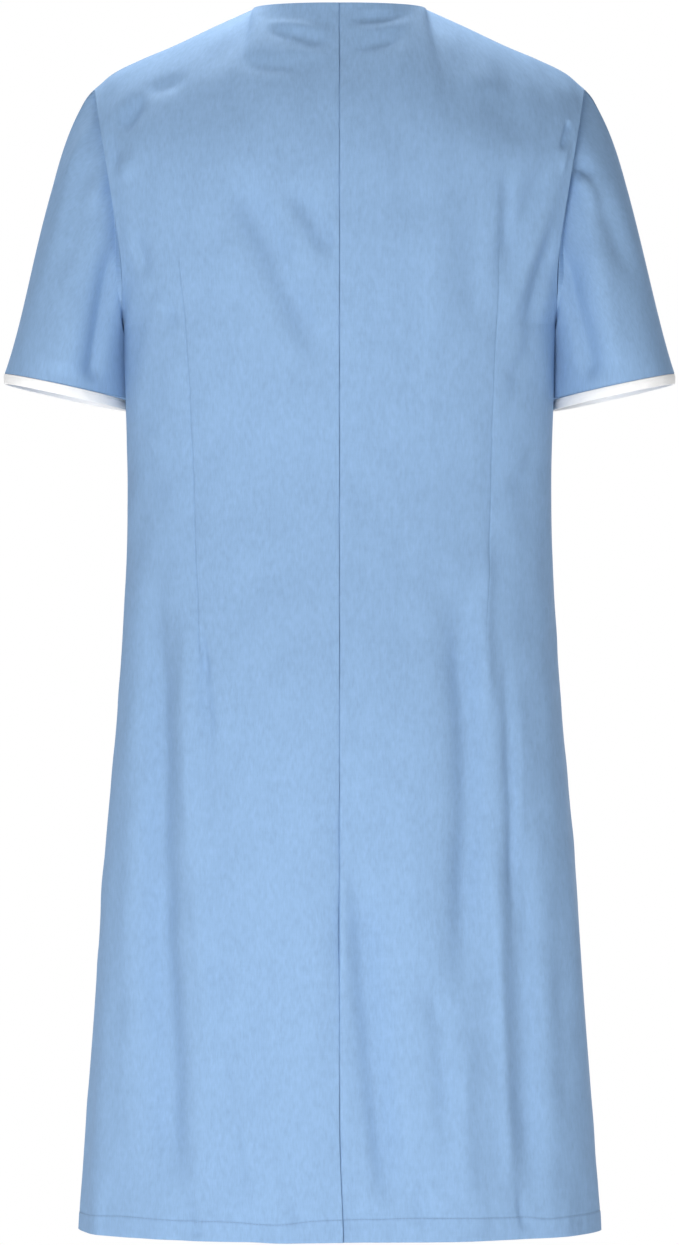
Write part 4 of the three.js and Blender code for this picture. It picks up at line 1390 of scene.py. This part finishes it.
class DRESS_OT_studio(Operator):
    """Make the floor, the soft lights, the even surroundings and the camera"""

    bl_idname = "dress.studio"
    bl_label = "Studio"

    def execute(self, context):
        studio = context.scene.studio
        turn = np.arange(FLOOR_SIDES) * 2 * math.pi / FLOOR_SIDES
        edge = studio.floor_radius * np.stack([np.cos(turn), np.sin(turn)], axis=-1) / MM
        low = np.column_stack([edge, np.full(FLOOR_SIDES, studio.floor_height / MM - 20)])
        high = np.column_stack([edge, np.full(FLOOR_SIDES, studio.floor_height / MM)])
        floor = make_object("floor", np.concatenate([low, high]), prism_faces(FLOOR_SIDES),
                            floor_finish("pale_floor", (0.86, 0.86, 0.87)), smooth_shading=False)

        middle = (0, 0, -0.55)
        power = studio.key_power
        area_light("key_light", (0.45, 2.3, -0.95), (0, 0, -0.72), (0.7, 0.8), power * 0.72)
        area_light("fill_light", (-1.2, 2.6, -0.9), middle, (1.2, 1.4), power * 0.12)
        area_light("top_light", (0.3, -0.5, 1.5), (0, 0, -0.05), (1.2, 0.8), power * 0.22)
        area_light("side_light", (-2.4, 1.2, -1.3), (-0.15, 0, -0.8), (0.8, 0.8), power * 0.22)
        area_light("rim_light", (2.4, 1.2, -1.3), (0.15, 0, -0.8), (0.8, 0.8), power * 0.26)
        area_light("shoulder_light", (0.06, -0.24, 0.52), (0, 0.02, 0), (0.3, 0.2), power * 0.11)
        area_light("front_key", (-1.6, -3.0, -0.5), middle, (1.4, 1.8), power * 0.5)
        area_light("front_fill", (2.0, -2.8, -0.8), middle, (1.4, 1.8), power * 0.2)

        world = bpy.data.worlds.new("surroundings")
        world.use_nodes = True
        nodes, links = world.node_tree.nodes, world.node_tree.links
        seen = nodes["Background"]
        seen.inputs[0].default_value = (1, 1, 1, 1)
        seen.inputs[1].default_value = 1.0
        even = nodes.new("ShaderNodeBackground")
        even.inputs[0].default_value = (1, 1, 1, 1)
        even.inputs[1].default_value = studio.world_strength
        rays = nodes.new("ShaderNodeLightPath")
        choice = nodes.new("ShaderNodeMixShader")
        links.new(rays.outputs["Is Camera Ray"], choice.inputs[0])
        links.new(even.outputs[0], choice.inputs[1])
        links.new(seen.outputs[0], choice.inputs[2])
        links.new(choice.outputs[0], nodes["World Output"].inputs[0])
        context.scene.world = world
        context.scene.view_settings.view_transform = "Standard"

        lens = bpy.data.cameras.new("camera")
        lens.lens = studio.camera_lens
        lens.sensor_width = 36
        lens.clip_start, lens.clip_end = 0.1, 100
        camera = bpy.data.objects.new("camera", lens)
        camera.location = (0, studio.camera_distance, studio.camera_height)
        camera.rotation_euler = (math.pi / 2, 0, math.pi)
        context.scene.collection.objects.link(camera)
        context.scene.camera = camera
        return {"FINISHED"}


class DRESS_PT_panel(Panel):
    """Lists the sizes and the operators"""

    bl_label = "Nurse Uniform Dress"
    bl_idname = "DRESS_PT_panel"
    bl_space_type = "VIEW_3D"
    bl_region_type = "UI"
    bl_category = "Dress"

    def draw(self, context):
        for group in (context.scene.dress, context.scene.studio):
            box = self.layout.box()
            for name in group.__annotations__:
                box.prop(group, name)
        for operator in OPERATORS:
            self.layout.operator(operator.bl_idname)


OPERATORS = (
    DRESS_OT_body_panels,
    DRESS_OT_sleeves,
    DRESS_OT_cuff_bands,
    DRESS_OT_buttons,
    DRESS_OT_stitching,
    DRESS_OT_studio,
)
CLASSES = (DressSettings, StudioSettings, *OPERATORS, DRESS_PT_panel)


def register():
    for part in CLASSES:
        bpy.utils.register_class(part)
    bpy.types.Scene.dress = PointerProperty(type=DressSettings)
    bpy.types.Scene.studio = PointerProperty(type=StudioSettings)


def unregister():
    del bpy.types.Scene.studio
    del bpy.types.Scene.dress
    for part in reversed(CLASSES):
        bpy.utils.unregister_class(part)


def main():
    register()
    bpy.ops.dress.body_panels()
    bpy.ops.dress.sleeves()
    bpy.ops.dress.cuff_bands()
    bpy.ops.dress.buttons()
    bpy.ops.dress.stitching()
    bpy.ops.dress.studio()


if __name__ == "__main__":
    main()
